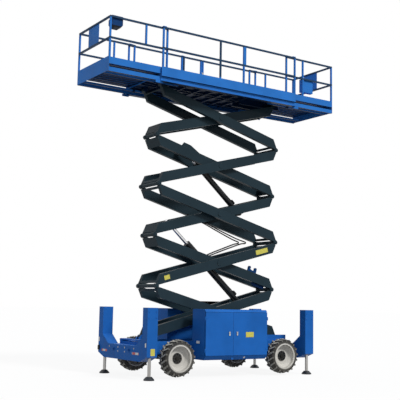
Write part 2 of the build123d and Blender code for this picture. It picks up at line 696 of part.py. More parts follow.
def make_track(y_open, y_web, pin_z):
    """A channel for a roller: a web and two flanges, open on one side."""
    inside = ROLLER_RADIUS + TRACK_GAP
    x0 = PIN_HALF_SPAN - TRACK_LENGTH_BACK
    x1 = FOLDED_REACH + ROLLER_RADIUS + TRACK_LENGTH_PAST
    outward = 1 if y_web > y_open else -1
    web = block(x0, x1, y_web, y_web + outward * TRACK_WALL,
                pin_z - inside - TRACK_WALL, pin_z + inside + TRACK_WALL)
    for level in (-1, 1):
        flange = pin_z + level * inside
        web += block(x0, x1, y_open, y_web, flange, flange + level * TRACK_WALL)
    return web


def make_chassis():
    """Two beams, the plates between them, the scissor's base brackets and roller channels."""
    beam = block(-BUMPER_BACK, BUMPER_BACK, BEAM_INNER_Y, BEAM_OUTER_Y, BEAM_BOTTOM, BEAM_TOP)
    decking = BEAM_TOP - DECKING_DROP
    end_plates = [(-BUMPER_BACK, -END_PLATE_START), (END_PLATE_START, BUMPER_BACK)]
    for x0, x1 in end_plates + MIDDLE_PLATES:
        beam += block(x0, x1, 0, BEAM_INNER_Y, decking, decking + PLATE)
        beam += block(x0, x0 + PLATE, 0, BEAM_INNER_Y, BEAM_BOTTOM, decking)
    pin_x = -PIN_HALF_SPAN
    inner = INNER_FACE["inner"] - RUNNING_GAP
    outer = INNER_ARM_Y + RUNNING_GAP
    for y0, y1 in ((inner - PLATE, inner), (outer, outer + PLATE)):
        beam += block(pin_x - BRACKET_TO_FRONT, pin_x + BRACKET_TO_REAR, y0, y1, decking, BASE_PIN_Z)
        beam += rod_y(pin_x, BASE_PIN_Z, EAR_RADIUS, y0, y1)
    beam += rod_y(pin_x, BASE_PIN_Z, PIN_DIAMETER / 2, inner, outer)
    beam += make_track(OUTER_ARM_Y + RUNNING_GAP, OUTER_ARM_Y + ROLLER_WIDTH + TRACK_GAP, BASE_PIN_Z)
    return both_sides(beam)


def make_cowl():
    """A low cover across the chassis beams behind the front bumper."""
    flat = COWL_HALF_WIDTH - COWL_CORNER
    top = BEAM_TOP + COWL_RISE
    outline = [(-COWL_HALF_WIDTH, BEAM_TOP), (COWL_HALF_WIDTH, BEAM_TOP), (flat, top), (-flat, top)]
    return plate_yz(outline, -BUMPER_BACK, -BUMPER_BACK + COWL_LENGTH)


POST_IN = LEG_Y - POST_WIDTH / 2
POST_OUT = LEG_Y + POST_WIDTH / 2
# height of the bumper's bevel where the post meets it
BEVEL_AT_POST = BUMPER_BOTTOM + (POST_BOTTOM - BUMPER_BOTTOM) * (
    (POST_IN - BUMPER_FLAT_HALF) / (POST_OUT - BUMPER_FLAT_HALF))


def make_outrigger_beam(end):
    """The bumper between the posts at one end (-1 front, 1 rear)."""
    outline = [(0, BUMPER_BOTTOM), (BUMPER_FLAT_HALF, BUMPER_BOTTOM), (POST_IN, BEVEL_AT_POST),
               (POST_IN, GUSSET_TOP), (SADDLE_HALF, BUMPER_TOP), (0, BUMPER_TOP)]
    x0 = end * (LEG_X - POST_LENGTH / 2)
    x1 = end * (LEG_X + POST_LENGTH / 2)
    return both_sides(plate_yz(outline, x0, x1))


def make_post(x, side):
    """A post welded to the bumper's end, bored for its outrigger leg."""
    outline = [(POST_IN, BEVEL_AT_POST), (POST_OUT, POST_BOTTOM), (POST_OUT, POST_TOP), (POST_IN, POST_TOP)]
    post = plate_yz(outline, x - POST_LENGTH / 2, x + POST_LENGTH / 2)
    post -= rod_z(x, LEG_Y, LEG_DIAMETER / 2 + SLIDE_FIT, BUMPER_BOTTOM, POST_TOP - POST_CAP)
    return post if side > 0 else mirror(post, about=Plane.XZ)


def make_tie_downs():
    """A ring on each bumper's face, two at each end."""
    rings = []
    for end in (-1, 1):
        face = end * (LEG_X + POST_LENGTH / 2)
        mouth = face + end * TIE_DOWN_DEPTH
        for side in (-1, 1):
            y = side * TIE_DOWN_Y
            ring = rod_x(y, TIE_DOWN_Z, TIE_DOWN_RADIUS + TIE_DOWN_RING, face, mouth)
            rings.append(ring - rod_x(y, TIE_DOWN_Z, TIE_DOWN_RADIUS, face, mouth))
    return rings[0] + rings[1:]


def make_leg(x, y):
    """An outrigger leg with the pad that it stands on."""
    pad_outline = [(0, 0), (FOOT_DIAMETER / 2, 0), (FOOT_DIAMETER / 2, FOOT_RIM),
                   (FOOT_NECK_DIAMETER / 2, FOOT_HEIGHT), (0, FOOT_HEIGHT)]
    points = [(radius, 0, height) for radius, height in pad_outline]
    pad = revolve(make_face(Polyline(*points, close=True)), axis=Axis.Z)
    leg = Pos(0, 0, (LEG_TOP + FOOT_HEIGHT) / 2) * Cylinder(LEG_DIAMETER / 2, LEG_TOP - FOOT_HEIGHT)
    return Pos(x, y, 0) * (pad + leg)


# --- Side housings and doors ------------------------------------------------------------

HOUSING_BACK_Y = BEAM_OUTER_Y
DOOR_LOW = HOUSING_LOW_CREASE + DOOR_GAP
DOOR_HIGH = HOUSING_TOP_CREASE - DOOR_GAP
HINGE_X_OUT = 12             # hinge axis beyond the housing's end
HINGE_Y_IN = 6               # and behind its face


def housing_outline(inset):
    """The housing's section in Y and Z on the far side, drawn in by a wall."""
    return [(HOUSING_BACK_Y + inset, HOUSING_BOTTOM + inset),
            (HOUSING_FACE_Y - HOUSING_LOW_BEVEL - inset, HOUSING_BOTTOM + inset),
            (HOUSING_FACE_Y - inset, HOUSING_LOW_CREASE),
            (HOUSING_FACE_Y - inset, HOUSING_TOP_CREASE),
            (HOUSING_FACE_Y - HOUSING_TOP_BEVEL - inset / 2, HOUSING_TOP - inset),
            (HOUSING_BACK_Y + inset, HOUSING_TOP - inset)]


def door_spans(side):
    """Start, end and hinge end (-1 or 1) of each door on a side."""
    if side < 0:
        return [("front", HOUSING_FRONT, DOOR_SEAM_X, -1), ("rear", DOOR_SEAM_X, HOUSING_REAR, 1)]
    return [("front", HOUSING_FRONT, LADDER_FRONT, -1), ("rear", LADDER_REAR, HOUSING_REAR, 1)]


def hinge_axis(hinge_end):
    """X of the hinge axis at one end of a housing, with its Y on the far side."""
    edge = HOUSING_FRONT if hinge_end < 0 else HOUSING_REAR
    return (edge + hinge_end * HINGE_X_OUT, HOUSING_FACE_Y - HINGE_Y_IN)


def make_housing(side):
    """A sheet housing, open where its doors are."""
    wall = HOUSING_WALL
    shell = plate_yz(housing_outline(0), HOUSING_FRONT, HOUSING_REAR)
    shell -= plate_yz(housing_outline(wall), HOUSING_FRONT + wall, HOUSING_REAR - wall)
    face_back = HOUSING_FACE_Y - DOOR_THICK - DOOR_BACK_GAP
    opening_low = HOUSING_LOW_CREASE
    opening_high = HOUSING_TOP_CREASE
    if side < 0:
        shell -= block(HOUSING_FRONT - CUT_PAST, HOUSING_REAR + CUT_PAST, face_back,
                       HOUSING_FACE_Y + CUT_PAST, opening_low, opening_high)
        shell += block(DOOR_SEAM_X - SEAM_POST / 2, DOOR_SEAM_X + SEAM_POST / 2,
                       face_back - wall, face_back, HOUSING_BOTTOM + wall, HOUSING_TOP - wall)
    else:
        recess_y = HOUSING_FACE_Y - RECESS_DEPTH
        bay_wall = block(LADDER_FRONT, LADDER_REAR, recess_y - wall, HOUSING_FACE_Y,
                         HOUSING_BOTTOM, HOUSING_TOP)
        whole = plate_yz(housing_outline(0), HOUSING_FRONT, HOUSING_REAR)
        shell += bay_wall & whole
        shell -= block(LADDER_FRONT + wall, LADDER_REAR - wall, recess_y, HOUSING_FACE_Y + CUT_PAST,
                       HOUSING_BOTTOM - CUT_PAST, HOUSING_TOP + CUT_PAST)
        for name, x0, x1, hinge_end in door_spans(side):
            inner = x1 if hinge_end < 0 else x0
            outer = (HOUSING_FRONT if hinge_end < 0 else HOUSING_REAR) + hinge_end * CUT_PAST
            shell -= block(outer, inner, face_back, HOUSING_FACE_Y + CUT_PAST, opening_low, opening_high)
    for hinge_end in (-1, 1):
        x, y = hinge_axis(hinge_end)
        edge = HOUSING_FRONT if hinge_end < 0 else HOUSING_REAR
        for z in (HINGE_LOW_Z, HINGE_HIGH_Z):
            shell += rod_z(x, y, HINGE_RADIUS, z - HINGE_LENGTH / 2, z - HINGE_FIT)
            shell += block(edge, x - hinge_end * HINGE_WEB, y - HINGE_LEAF, y,
                           z - HINGE_LENGTH / 2, z - HINGE_FIT)
    return shell if side > 0 else mirror(shell, about=Plane.XZ)


def make_door(side, x0, x1, hinge_end):
    """A pressed door with its hinge leaves and a latch at its free edge."""
    left = x0 + DOOR_GAP / 2 + (DOOR_END_GAP if hinge_end < 0 else 0)
    right = x1 - DOOR_GAP / 2 - (DOOR_END_GAP if hinge_end > 0 else 0)
    face = HOUSING_FACE_Y
    back = face - DOOR_THICK
    skin = DOOR_SKIN
    door = block(left, right, back, face, DOOR_LOW, DOOR_HIGH)
    door -= block(left + skin, right - skin, back - CUT_PAST, face - skin, DOOR_LOW + skin, DOOR_HIGH - skin)
    axis_x, axis_y = hinge_axis(hinge_end)
    free = left if hinge_end > 0 else right
    latch_x = free + hinge_end * LATCH_INSET
    latch_z = (DOOR_LOW + DOOR_HIGH) / 2
    half = LATCH_SIZE / 2
    door += block(latch_x - half, latch_x + half, face - DOOR_THICK / 2, face + LATCH_PROUD,
                  latch_z - half, latch_z + half)
    for z in (HINGE_LOW_Z, HINGE_HIGH_Z):
        door += rod_z(axis_x, axis_y, HINGE_RADIUS, z + HINGE_FIT, z + HINGE_LENGTH / 2)
        door += block(axis_x, axis_x - hinge_end * HINGE_LEAF, face - CUT_PAST, face + LATCH_PROUD,
                      z + HINGE_FIT, z + HINGE_LENGTH / 2)
    return door if side > 0 else mirror(door, about=Plane.XZ)


def make_ladder():
    """Rungs across the recess in the far housing."""
    x0 = LADDER_FRONT + HOUSING_WALL
    x1 = LADDER_REAR - HOUSING_WALL
    pitch = (HOUSING_TOP - HOUSING_BOTTOM) / RUNG_COUNT
    y = HOUSING_FACE_Y - RUNG_DIAMETER
    levels = [HOUSING_BOTTOM + pitch * (index + RUNG_START) for index in range(RUNG_COUNT)]
    rungs = [rod_x(y, z, RUNG_DIAMETER / 2, x0, x1) for z in levels]
    return rungs[0] + rungs[1:]


def make_engine():
    """The engine's mass, a plain block on the near housing's floor."""
    floor = HOUSING_BOTTOM + HOUSING_WALL
    return block(ENGINE_FRONT, ENGINE_REAR, -HOUSING_BACK_Y - ENGINE_BACK_GAP,
                 -HOUSING_FACE_Y + ENGINE_FACE_GAP, floor, floor + ENGINE_HEIGHT)


def make_battery_box():
    """A lidded box on top of the far housing."""
    x0 = BATTERY_BOX_FRONT
    x1 = HOUSING_REAR - BATTERY_BOX_INSET
    y0 = HOUSING_BACK_Y + BATTERY_BOX_INSET
    y1 = y0 + BATTERY_BOX_WIDTH
    top = HOUSING_TOP + BATTERY_BOX_HEIGHT
    over = BATTERY_LID_OVER
    lid = block(x0 - over, x1 + over, y0 - over, y1 + over, top - BATTERY_LID, top)
    return block(x0, x1, y0, y1, HOUSING_TOP, top) + lid


# --- Platform ---------------------------------------------------------------------------

FLOOR_LOW = TOP_PIN_Z + FLOOR_OVER_PIN
FLOOR_TOP = FLOOR_LOW + FLOOR_THICK
TOE_TOP = FLOOR_TOP + TOE_TOP_OVER_FLOOR
RAIL_HALF = RAIL_SIZE / 2
RAIL_Y = DECK_HALF_WIDTH - SHEET - RAIL_HALF
TOP_RAIL_Z = FLOOR_TOP + TOP_RAIL_OVER_FLOOR
MID_RAIL_Z = FLOOR_TOP + MID_RAIL_OVER_FLOOR
GATE_LOW = TOE_TOP + GATE_OVER_TOE      # underside and top of the gate, with its fit
GATE_HIGH = TOP_RAIL_Z + RAIL_HALF + SLIDE_FIT
CHANNEL_TOP = FLOOR_LOW - CHANNEL_DROP
CHANNEL_LOW = CHANNEL_TOP - CHANNEL_DEPTH
CHANNEL_WEB_Y = DECK_HALF_WIDTH - CHANNEL_RECESS
SLIDE_OUT_Y = CHANNEL_WEB_Y - CHANNEL_WALL - SLIDE_GAP
SLIDE_BEAM_LOW = CHANNEL_LOW + CHANNEL_WALL + SLIDE_GAP
INNER_BEAM_TOP = FLOOR_LOW - MEMBER_DEPTH - SLIDE_GAP
EXT_RAIL_Y = RAIL_Y - RAIL_SIZE - EXTENSION_SIDE_GAP
EXT_TOE_Y = EXT_RAIL_Y + RAIL_HALF      # outer face of an extension's toe boards
EXT_FLOOR_LOW = FLOOR_TOP + EXTENSION_FLOOR_GAP
EXT_FLOOR_TOP = EXT_FLOOR_LOW + EXTENSION_FLOOR


def make_roller_bracket(end, deck_end):
    """A plate under the end of a side channel, with the rollers that a slide beam runs on."""
    low = CHANNEL_LOW - ROLLER_BRACKET_DROP
    high = CHANNEL_LOW + CHANNEL_WALL
    tip = deck_end + end * ROLLER_BRACKET_REACH
    outline = [(deck_end - end * 2 * ROLLER_BRACKET_DROP, high), (deck_end - end * ROLLER_BRACKET_DROP, low),
               (tip, low), (tip, high)]
    bracket = plate_xz(outline, CHANNEL_WEB_Y - CHANNEL_WALL, CHANNEL_WEB_Y)
    for offset in SLIDE_ROLLERS:
        z = SLIDE_BEAM_LOW - SLIDE_FIT - SLIDE_ROLLER_RADIUS
        bracket += rod_y(deck_end + end * offset, z, SLIDE_ROLLER_RADIUS, SLIDE_OUT_Y - SLIDE_BEAM_WIDTH,
                         CHANNEL_WEB_Y)
    return bracket


def make_deck():
    """The main deck: floor, side channels, toe boards and roller brackets."""
    face = DECK_HALF_WIDTH
    inner = face - CHANNEL_FLANGE
    half = block(DECK_FRONT, DECK_REAR, 0, face, FLOOR_LOW, FLOOR_TOP)
    half += block(DECK_FRONT + TREAD_PLATE_INSET, DECK_REAR - TREAD_PLATE_INSET, 0,
                  face - TREAD_PLATE_INSET, FLOOR_TOP, FLOOR_TOP + TREAD_PLATE)
    half += block(DECK_FRONT, DECK_REAR, CHANNEL_WEB_Y - CHANNEL_WALL, CHANNEL_WEB_Y, CHANNEL_LOW, FLOOR_LOW)
    half += block(DECK_FRONT, DECK_REAR, inner, face, CHANNEL_LOW, CHANNEL_LOW + CHANNEL_WALL)
    half += block(DECK_FRONT, DECK_REAR, inner, face, CHANNEL_TOP - CHANNEL_WALL, FLOOR_LOW)
    half += block(DECK_FRONT, DECK_REAR, face - SHEET, face, FLOOR_TOP, TOE_TOP)
    for end, deck_end in ((-1, DECK_FRONT), (1, DECK_REAR)):
        pad_low = CHANNEL_LOW + CHANNEL_WALL
        half += block(deck_end, deck_end - end * WEAR_PAD, SLIDE_OUT_Y - SLIDE_BEAM_WIDTH, SLIDE_OUT_Y,
                      pad_low, pad_low + SLIDE_GAP - SLIDE_FIT)
        half += make_roller_bracket(end, deck_end)
    return both_sides(half)


def make_underframe():
    """Cross members and stringers under the floor, the scissor's mounts and the beam straps."""
    reach = DECK_HALF_WIDTH - CHANNEL_FLANGE
    half = Part()
    for y in STRINGERS:
        half += block(DECK_FRONT, DECK_REAR, y, y + STRINGER_WIDTH, FLOOR_LOW - STRINGER_DEPTH, FLOOR_LOW)
    for x in DECK_MEMBERS:
        half += block(x, x + MEMBER_WIDTH, 0, reach, FLOOR_LOW - MEMBER_DEPTH, FLOOR_LOW)
    pin_x = -PIN_HALF_SPAN
    inner = INNER_FACE["outer"] - RUNNING_GAP
    outer = OUTER_ARM_Y + RUNNING_GAP
    for y0, y1 in ((inner - PLATE, inner), (outer, outer + PLATE)):
        half += block(pin_x - EAR_RADIUS, pin_x + EAR_RADIUS, y0, y1, TOP_PIN_Z, FLOOR_LOW)
        half += rod_y(pin_x, TOP_PIN_Z, EAR_RADIUS, y0, y1)
    half += rod_y(pin_x, TOP_PIN_Z, PIN_DIAMETER / 2, inner, outer)
    arm_face = INNER_FACE["inner"]
    half += make_track(arm_face - RUNNING_GAP, arm_face - ROLLER_WIDTH - TRACK_GAP, TOP_PIN_Z)
    strap_low = INNER_BEAM_TOP - INNER_BEAM_DEPTH - SLIDE_GAP - CHANNEL_WALL
    near_cheek = INNER_BEAM_Y - SLIDE_GAP - CHANNEL_WALL
    far_cheek = INNER_BEAM_Y + SLIDE_BEAM_WIDTH + SLIDE_GAP
    for end, deck_end in ((-1, DECK_FRONT), (1, DECK_REAR)):
        back = deck_end - end * MEMBER_WIDTH
        for cheek in (near_cheek, far_cheek):
            half += block(deck_end, back, cheek, cheek + CHANNEL_WALL, strap_low, FLOOR_LOW)
        half += block(deck_end, back, near_cheek, far_cheek + CHANNEL_WALL,
                      strap_low, strap_low + CHANNEL_WALL)
    return both_sides(half)


def bar_x(y, z, x0, x1):
    """A square tube along X, its ends mitred over the tubes that it meets."""
    run_on = math.copysign(RAIL_HALF, x1 - x0)
    return block(x0 - run_on, x1 + run_on, y - RAIL_HALF, y + RAIL_HALF, z - RAIL_HALF, z + RAIL_HALF)


def bar_z(x, y, z0, z1):
    """A square tube standing up."""
    return block(x - RAIL_HALF, x + RAIL_HALF, y - RAIL_HALF, y + RAIL_HALF, z0, z1)


def rail_run(y, x0, x1, posts):
    """Top and mid rails along X, with posts from the floor up."""
    run = bar_x(y, TOP_RAIL_Z, x0, x1) + bar_x(y, MID_RAIL_Z, x0, x1)
    for x in posts:
        run += bar_z(x, y, FLOOR_TOP, TOP_RAIL_Z)
    return run


def make_main_rails():
    """Guard rails on both sides of the main deck, open at the gate."""
    x0 = DECK_FRONT + RAILS_FROM_FRONT
    x1 = DECK_REAR - RAILS_FROM_REAR
    near = rail_run(-RAIL_Y, x0, x1, [x0, *NEAR_POSTS, x1])
    near += bar_z(DOUBLED_POST + RAIL_SIZE, -RAIL_Y, MID_RAIL_Z, TOP_RAIL_Z)
    hinge_post = GATE_FRONT - GATE_POST_GAP
    latch_post = GATE_REAR + GATE_POST_GAP
    front = rail_run(RAIL_Y, x0, hinge_post, [x0, hinge_post])
    rear = rail_run(RAIL_Y, latch_post, x1, [latch_post, x1])
    half = GATE_LUG_RADIUS
    for z0, z1 in ((GATE_LOW - GATE_LUG, GATE_LOW), (GATE_HIGH, GATE_HIGH + GATE_LUG)):
        lug = block(hinge_post, GATE_FRONT, RAIL_Y - half, RAIL_Y + half, z0, z1)
        front += lug + rod_z(GATE_FRONT, RAIL_Y, half, z0, z1)
    front += bar_z(hinge_post, RAIL_Y, TOP_RAIL_Z, GATE_HIGH + GATE_LUG)
    rails = near + front + rear
    guide_low = TOP_RAIL_Z + RAIL_HALF
    for start in (x0 - RAIL_HALF, x1 + RAIL_HALF - GUIDE_LENGTH):
        end = start + GUIDE_LENGTH
        seat = block(start, end, RAIL_Y - RAIL_HALF, RAIL_Y + RAIL_HALF, guide_low, guide_low + GUIDE_GAP)
        hook = block(start, end, EXT_RAIL_Y, RAIL_Y + RAIL_HALF, guide_low + GUIDE_GAP,
                     guide_low + GUIDE_GAP + GUIDE_WALL)
        rails += both_sides(seat + hook)
    return rails


def make_extension(end):
    """A deck extension run out at one end (-1 front, 1 rear), with its rails and slide beams."""
    deck_end = DECK_FRONT if end < 0 else DECK_REAR
    tip = end * (EXTENSION_REACH - DECK_FRONT)
    trail = deck_end - end * (FRONT_EXTENSION_LAP if end < 0 else REAR_EXTENSION_LAP)
    slide_end = deck_end - end * SLIDE_BEAM_LAP
    half = block(tip, trail, 0, EXT_TOE_Y, EXT_FLOOR_TOP - EXTENSION_SHEET, EXT_FLOOR_TOP)
    for y in EXTENSION_RIBS:
        half += block(tip, trail, y, y + RIB_WIDTH, EXT_FLOOR_LOW, EXT_FLOOR_TOP)
    half += block(trail, trail + end * RIB_WIDTH, 0, EXT_TOE_Y, EXT_FLOOR_LOW, EXT_FLOOR_TOP)
    half += block(tip, trail, EXT_TOE_Y - SHEET, EXT_TOE_Y, EXT_FLOOR_LOW, TOE_TOP)
    half += block(tip, trail, EXT_TOE_Y - TOE_LIP, EXT_TOE_Y, TOE_TOP - SHEET, TOE_TOP)
    half += block(tip, tip - end * SHEET, 0, EXT_TOE_Y, CHANNEL_LOW + END_PLATE_FOOT,
                  TOE_TOP + END_PLATE_OVER)
    half += block(tip, slide_end, SLIDE_OUT_Y - SLIDE_BEAM_WIDTH, SLIDE_OUT_Y,
                  SLIDE_BEAM_LOW, CHANNEL_TOP - CHANNEL_WALL - SLIDE_GAP)
    half += block(tip, slide_end, INNER_BEAM_Y, INNER_BEAM_Y + SLIDE_BEAM_WIDTH,
                  INNER_BEAM_TOP - INNER_BEAM_DEPTH, INNER_BEAM_TOP)
    corner = tip - end * RAIL_HALF
    for z in (TOP_RAIL_Z, MID_RAIL_Z):
        half += bar_x(EXT_RAIL_Y, z, corner, trail)
        half += block(corner - RAIL_HALF, corner + RAIL_HALF, 0, EXT_RAIL_Y, z - RAIL_HALF, z + RAIL_HALF)
    for x in (corner, trail):
        half += bar_z(x, EXT_RAIL_Y, EXT_FLOOR_LOW, TOP_RAIL_Z)
    if end < 0:
        half += bar_z(deck_end - FRONT_SHORT_POST, EXT_RAIL_Y, MID_RAIL_Z, TOP_RAIL_Z)
    else:
        half += bar_z(deck_end + REAR_FULL_POST, EXT_RAIL_Y, EXT_FLOOR_LOW, TOP_RAIL_Z)
    panel = block(corner - SHEET / 2, corner + SHEET / 2, -END_PANEL_NEAR, END_PANEL_FAR,
                  MID_RAIL_Z, TOP_RAIL_Z)
    extension = both_sides(half) + panel
    if end > 0:
        x0 = deck_end + STORAGE_BOX_START
        wall = -EXT_RAIL_Y + RAIL_HALF
        extension += block(x0, x0 + STORAGE_BOX_LENGTH, wall, wall + STORAGE_BOX_DEPTH,
                           MID_RAIL_Z - STORAGE_BOX_HEIGHT, MID_RAIL_Z)
    return extension


def make_gate():
    """The entry gate on the far side."""
    x0 = GATE_FRONT
    x1 = GATE_REAR
    gate = bar_x(RAIL_Y, TOP_RAIL_Z, x0, x1) + bar_x(RAIL_Y, MID_RAIL_Z, x0, x1)
    gate += bar_x(RAIL_Y, TOE_TOP + GATE_LOW_RAIL, x0, x1)
    for x in (x0, x1):
        gate += bar_z(x, RAIL_Y, GATE_LOW + SLIDE_FIT, GATE_HIGH - SLIDE_FIT)
    return gate


def make_control_box():
    """The platform controls on the front extension's near rail, their panel sloped to the deck."""
    x0 = DECK_FRONT - EXTENSION_REACH + CONTROL_FROM_TIP
    x1 = x0 + CONTROL_LENGTH
    y0 = -EXT_RAIL_Y + RAIL_HALF
    y1 = y0 + CONTROL_DEPTH
    low = TOP_RAIL_Z - CONTROL_BELOW
    high = TOP_RAIL_Z + CONTROL_ABOVE
    outline = [(x0 + CONTROL_TAPER, low), (x1 - CONTROL_TAPER, low), (x1, low + CONTROL_TAPER_HEIGHT),
               (x1, high), (x0, high), (x0, low + CONTROL_TAPER_HEIGHT)]
    cut = [(y0 + CONTROL_BACK, high), (y1, high - CONTROL_SLOPE), (y1 + CUT_PAST, high + CUT_PAST)]
    return plate_xz(outline, y0, y1) - plate_yz(cut, x0 - CUT_PAST, x1 + CUT_PAST)


# --- Write every piece ------------------------------------------------------------------

save(make_chassis(), "chassis_frame")
save(make_outrigger_beam(-1), "front_outrigger_beam")
save(make_outrigger_beam(1), "rear_outrigger_beam")
save(make_front_axle(), "front_axle")
save(make_rear_axle(), "rear_axle")
save(make_tie_downs(), "tie_down_rings")
save(make_cowl(), "front_cowl")
save(make_battery_box(), "battery_box")
save(make_engine(), "engine_block")
save(make_ladder(), "ladder_rungs")

for name, side in (("near", -1), ("far", 1)):
    save(make_housing(side), f"{name}_housing")
    save(make_knuckle(side), f"{name}_steering_knuckle")
    for place, start, finish, hinge_end in door_spans(side):
        save(make_door(side, start, finish, hinge_end), f"{name}_{place}_door")
    for place, end in (("front", -1), ("rear", 1)):
        save(make_leg(end * LEG_X, side * LEG_Y), f"{name}_{place}_leg")
        save(make_post(end * LEG_X, side), f"{name}_{place}_post")

tyre = make_tyre()
rim = make_rim()
for name, x, side in WHEELS:
    save(place_wheel(tyre, x, side), f"{name}_tyre")
    save(place_wheel(rim, x, side), f"{name}_rim")

for stage in range(1, STAGES + 1):
    for kind in ("outer", "inner"):
        save(make_arms(kind, stage), f"{kind}_arms_{stage}")

save(make_prop(), "maintenance_prop")

low_base = arm_point(LOW_BASE, "inner", LOW_BASE_STAGE)
low_eye = arm_point(LOW_EYE, "inner", LOW_EYE_STAGE)
high_base = arm_point(HIGH_BASE, "inner", HIGH_BASE_STAGE)
high_eye = arm_point(HIGH_EYE, "inner", HIGH_EYE_STAGE)
# name, base pin, rod eye, barrel diameter and length, travel back to flat
CYLINDERS = [
    ("lower", low_base, low_eye, LOW_BARREL_DIAMETER, LOW_BARREL_LENGTH, LOW_STROKE_BACK),
    ("upper", high_base, high_eye, HIGH_BARREL_DIAMETER, HIGH_BARREL_LENGTH, HIGH_STROKE_BACK)]
for name, base, eye, diameter, length, stroke_back in CYLINDERS:
    reach = math.hypot(eye[0] - base[0], eye[1] - base[1])
    save(between(make_barrel(diameter, length), base, eye), f"{name}_cylinder_barrel")
    rod = make_rod(reach, BORE_START + ROD_END_ROOM + stroke_back)
    save(between(rod, base, eye), f"{name}_cylinder_rod")

save(make_deck(), "main_deck")
save(make_underframe(), "deck_underframe")
save(make_main_rails(), "main_rails")
save(make_extension(-1), "front_extension")
save(make_extension(1), "rear_extension")
save(make_gate(), "entry_gate")
save(make_control_box(), "control_box")
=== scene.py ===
# %% [markdown]
# # A rough-terrain scissor lift
#
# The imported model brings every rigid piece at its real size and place. This script never
# moves those pieces. It gives each one its finish, adds the small things that are too fine
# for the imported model, and sets up a plain studio to look at the machine in.

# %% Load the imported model
import json
import math

import bpy
from mathutils import Matrix, Vector


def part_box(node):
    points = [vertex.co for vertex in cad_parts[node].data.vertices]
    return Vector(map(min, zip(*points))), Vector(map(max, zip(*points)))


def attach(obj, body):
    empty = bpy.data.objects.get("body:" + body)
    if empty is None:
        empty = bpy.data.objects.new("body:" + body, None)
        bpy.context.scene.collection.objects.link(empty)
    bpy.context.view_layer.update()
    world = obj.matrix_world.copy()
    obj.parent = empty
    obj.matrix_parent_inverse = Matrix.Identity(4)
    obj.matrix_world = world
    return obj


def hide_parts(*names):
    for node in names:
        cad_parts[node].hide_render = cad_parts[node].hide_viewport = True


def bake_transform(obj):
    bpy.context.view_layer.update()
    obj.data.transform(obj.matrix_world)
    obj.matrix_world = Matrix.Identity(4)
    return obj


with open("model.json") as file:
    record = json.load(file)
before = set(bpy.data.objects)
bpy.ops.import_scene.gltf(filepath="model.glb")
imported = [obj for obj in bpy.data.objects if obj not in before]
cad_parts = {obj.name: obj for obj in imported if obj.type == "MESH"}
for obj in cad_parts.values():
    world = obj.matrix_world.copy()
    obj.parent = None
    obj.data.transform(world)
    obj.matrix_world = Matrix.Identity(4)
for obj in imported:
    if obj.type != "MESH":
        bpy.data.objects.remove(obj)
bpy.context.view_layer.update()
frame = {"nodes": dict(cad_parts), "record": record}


def middle_of(node):
    """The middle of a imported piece."""
    low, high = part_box(node)
    return (Vector(low) + Vector(high)) / 2


def placed(origin, first, second, third):
    """A matrix that carries the origin to a place and turns the axes to three directions."""
    return Matrix.Translation(origin) @ Matrix((first, second, third)).transposed().to_4x4()


# %% [markdown]
# ## Where the camera stands
#
# The machine is seen from its front corner on the near side, by someone standing a little
# more than twenty metres away, with a long lens tilted up to take in the raised platform.
# A camera can be placed by typing angles, or by building its axes from the way that it
# looks. The second is easier to read here, because each angle is then one plain number.

# %% Camera
CAMERA_PLACE = Vector((-11.463, -16.714, 1.668))
CAMERA_YAW = math.radians(33.726)       # turned from straight across the machine to its rear
CAMERA_PITCH = math.radians(7.211)      # up
CAMERA_ROLL = math.radians(1.064)
CAMERA_LENS = 73.95                     # mm
CAMERA_SENSOR = 36                      # mm wide
CAMERA_REACH = 500


def make_camera():
    """A camera whose axes are worked out from its yaw, pitch and roll."""
    flat = math.cos(CAMERA_PITCH)
    level = Vector((math.sin(CAMERA_YAW), math.cos(CAMERA_YAW), 0))
    ahead = level * flat + Vector((0, 0, math.sin(CAMERA_PITCH)))
    level_right = Vector((level.y, -level.x, 0))
    level_up = level_right.cross(ahead)
    right = level_right * math.cos(CAMERA_ROLL) + level_up * math.sin(CAMERA_ROLL)
    up = level_up * math.cos(CAMERA_ROLL) - level_right * math.sin(CAMERA_ROLL)
    lens = bpy.data.cameras.new("camera")
    lens.lens = CAMERA_LENS
    lens.sensor_width = CAMERA_SENSOR
    lens.clip_end = CAMERA_REACH
    camera = bpy.data.objects.new("camera", lens)
    bpy.context.scene.collection.objects.link(camera)
    camera.matrix_world = placed(CAMERA_PLACE, right, up, -ahead)
    bpy.context.scene.camera = camera


make_camera()
print("camera distance:", round(CAMERA_PLACE.length, 2), "m")

# %% [markdown]
# ## Building shader trees
#
# A shader is a tree of nodes, and most of the work is to place a node and link it. These
# short helpers do that, so that the cells after them read as recipes. Wherever a value is
# asked for, it can be a socket of another node or a plain number.

# %% Node helpers


def feed(tree, value, socket):
    """Link a socket to another, or set it to a number or a colour."""
    if isinstance(value, bpy.types.NodeSocket):
        tree.links.new(value, socket)
    else:
        socket.default_value = value


def set_inputs(tree, node, **values):
    """Link or set a node's inputs by their names. Underscores stand for spaces."""
    for label, value in values.items():
        feed(tree, value, node.inputs[label.replace("_", " ")])


def calc(tree, kind, first, second=0.0):
    """One Math node on two values."""
    node = tree.nodes.new("ShaderNodeMath")
    node.operation = kind
    feed(tree, first, node.inputs[0])
    feed(tree, second, node.inputs[1])
    return node.outputs[0]


def noise(tree, place, scale, detail=3.0, roughness=0.5):
    """A noise texture read at a place."""
    node = tree.nodes.new("ShaderNodeTexNoise")
    set_inputs(tree, node, Vector=place, Scale=scale, Detail=detail, Roughness=roughness)
    return node.outputs["Fac"]


def ramp(tree, value, low, high, start=0.0, end=1.0):
    """Stretch a value: start at or under low, end at or over high, smooth between."""
    node = tree.nodes.new("ShaderNodeMapRange")
    node.interpolation_type = "SMOOTHSTEP"
    set_inputs(tree, node, Value=value, From_Min=low, From_Max=high, To_Min=start, To_Max=end)
    return node.outputs["Result"]


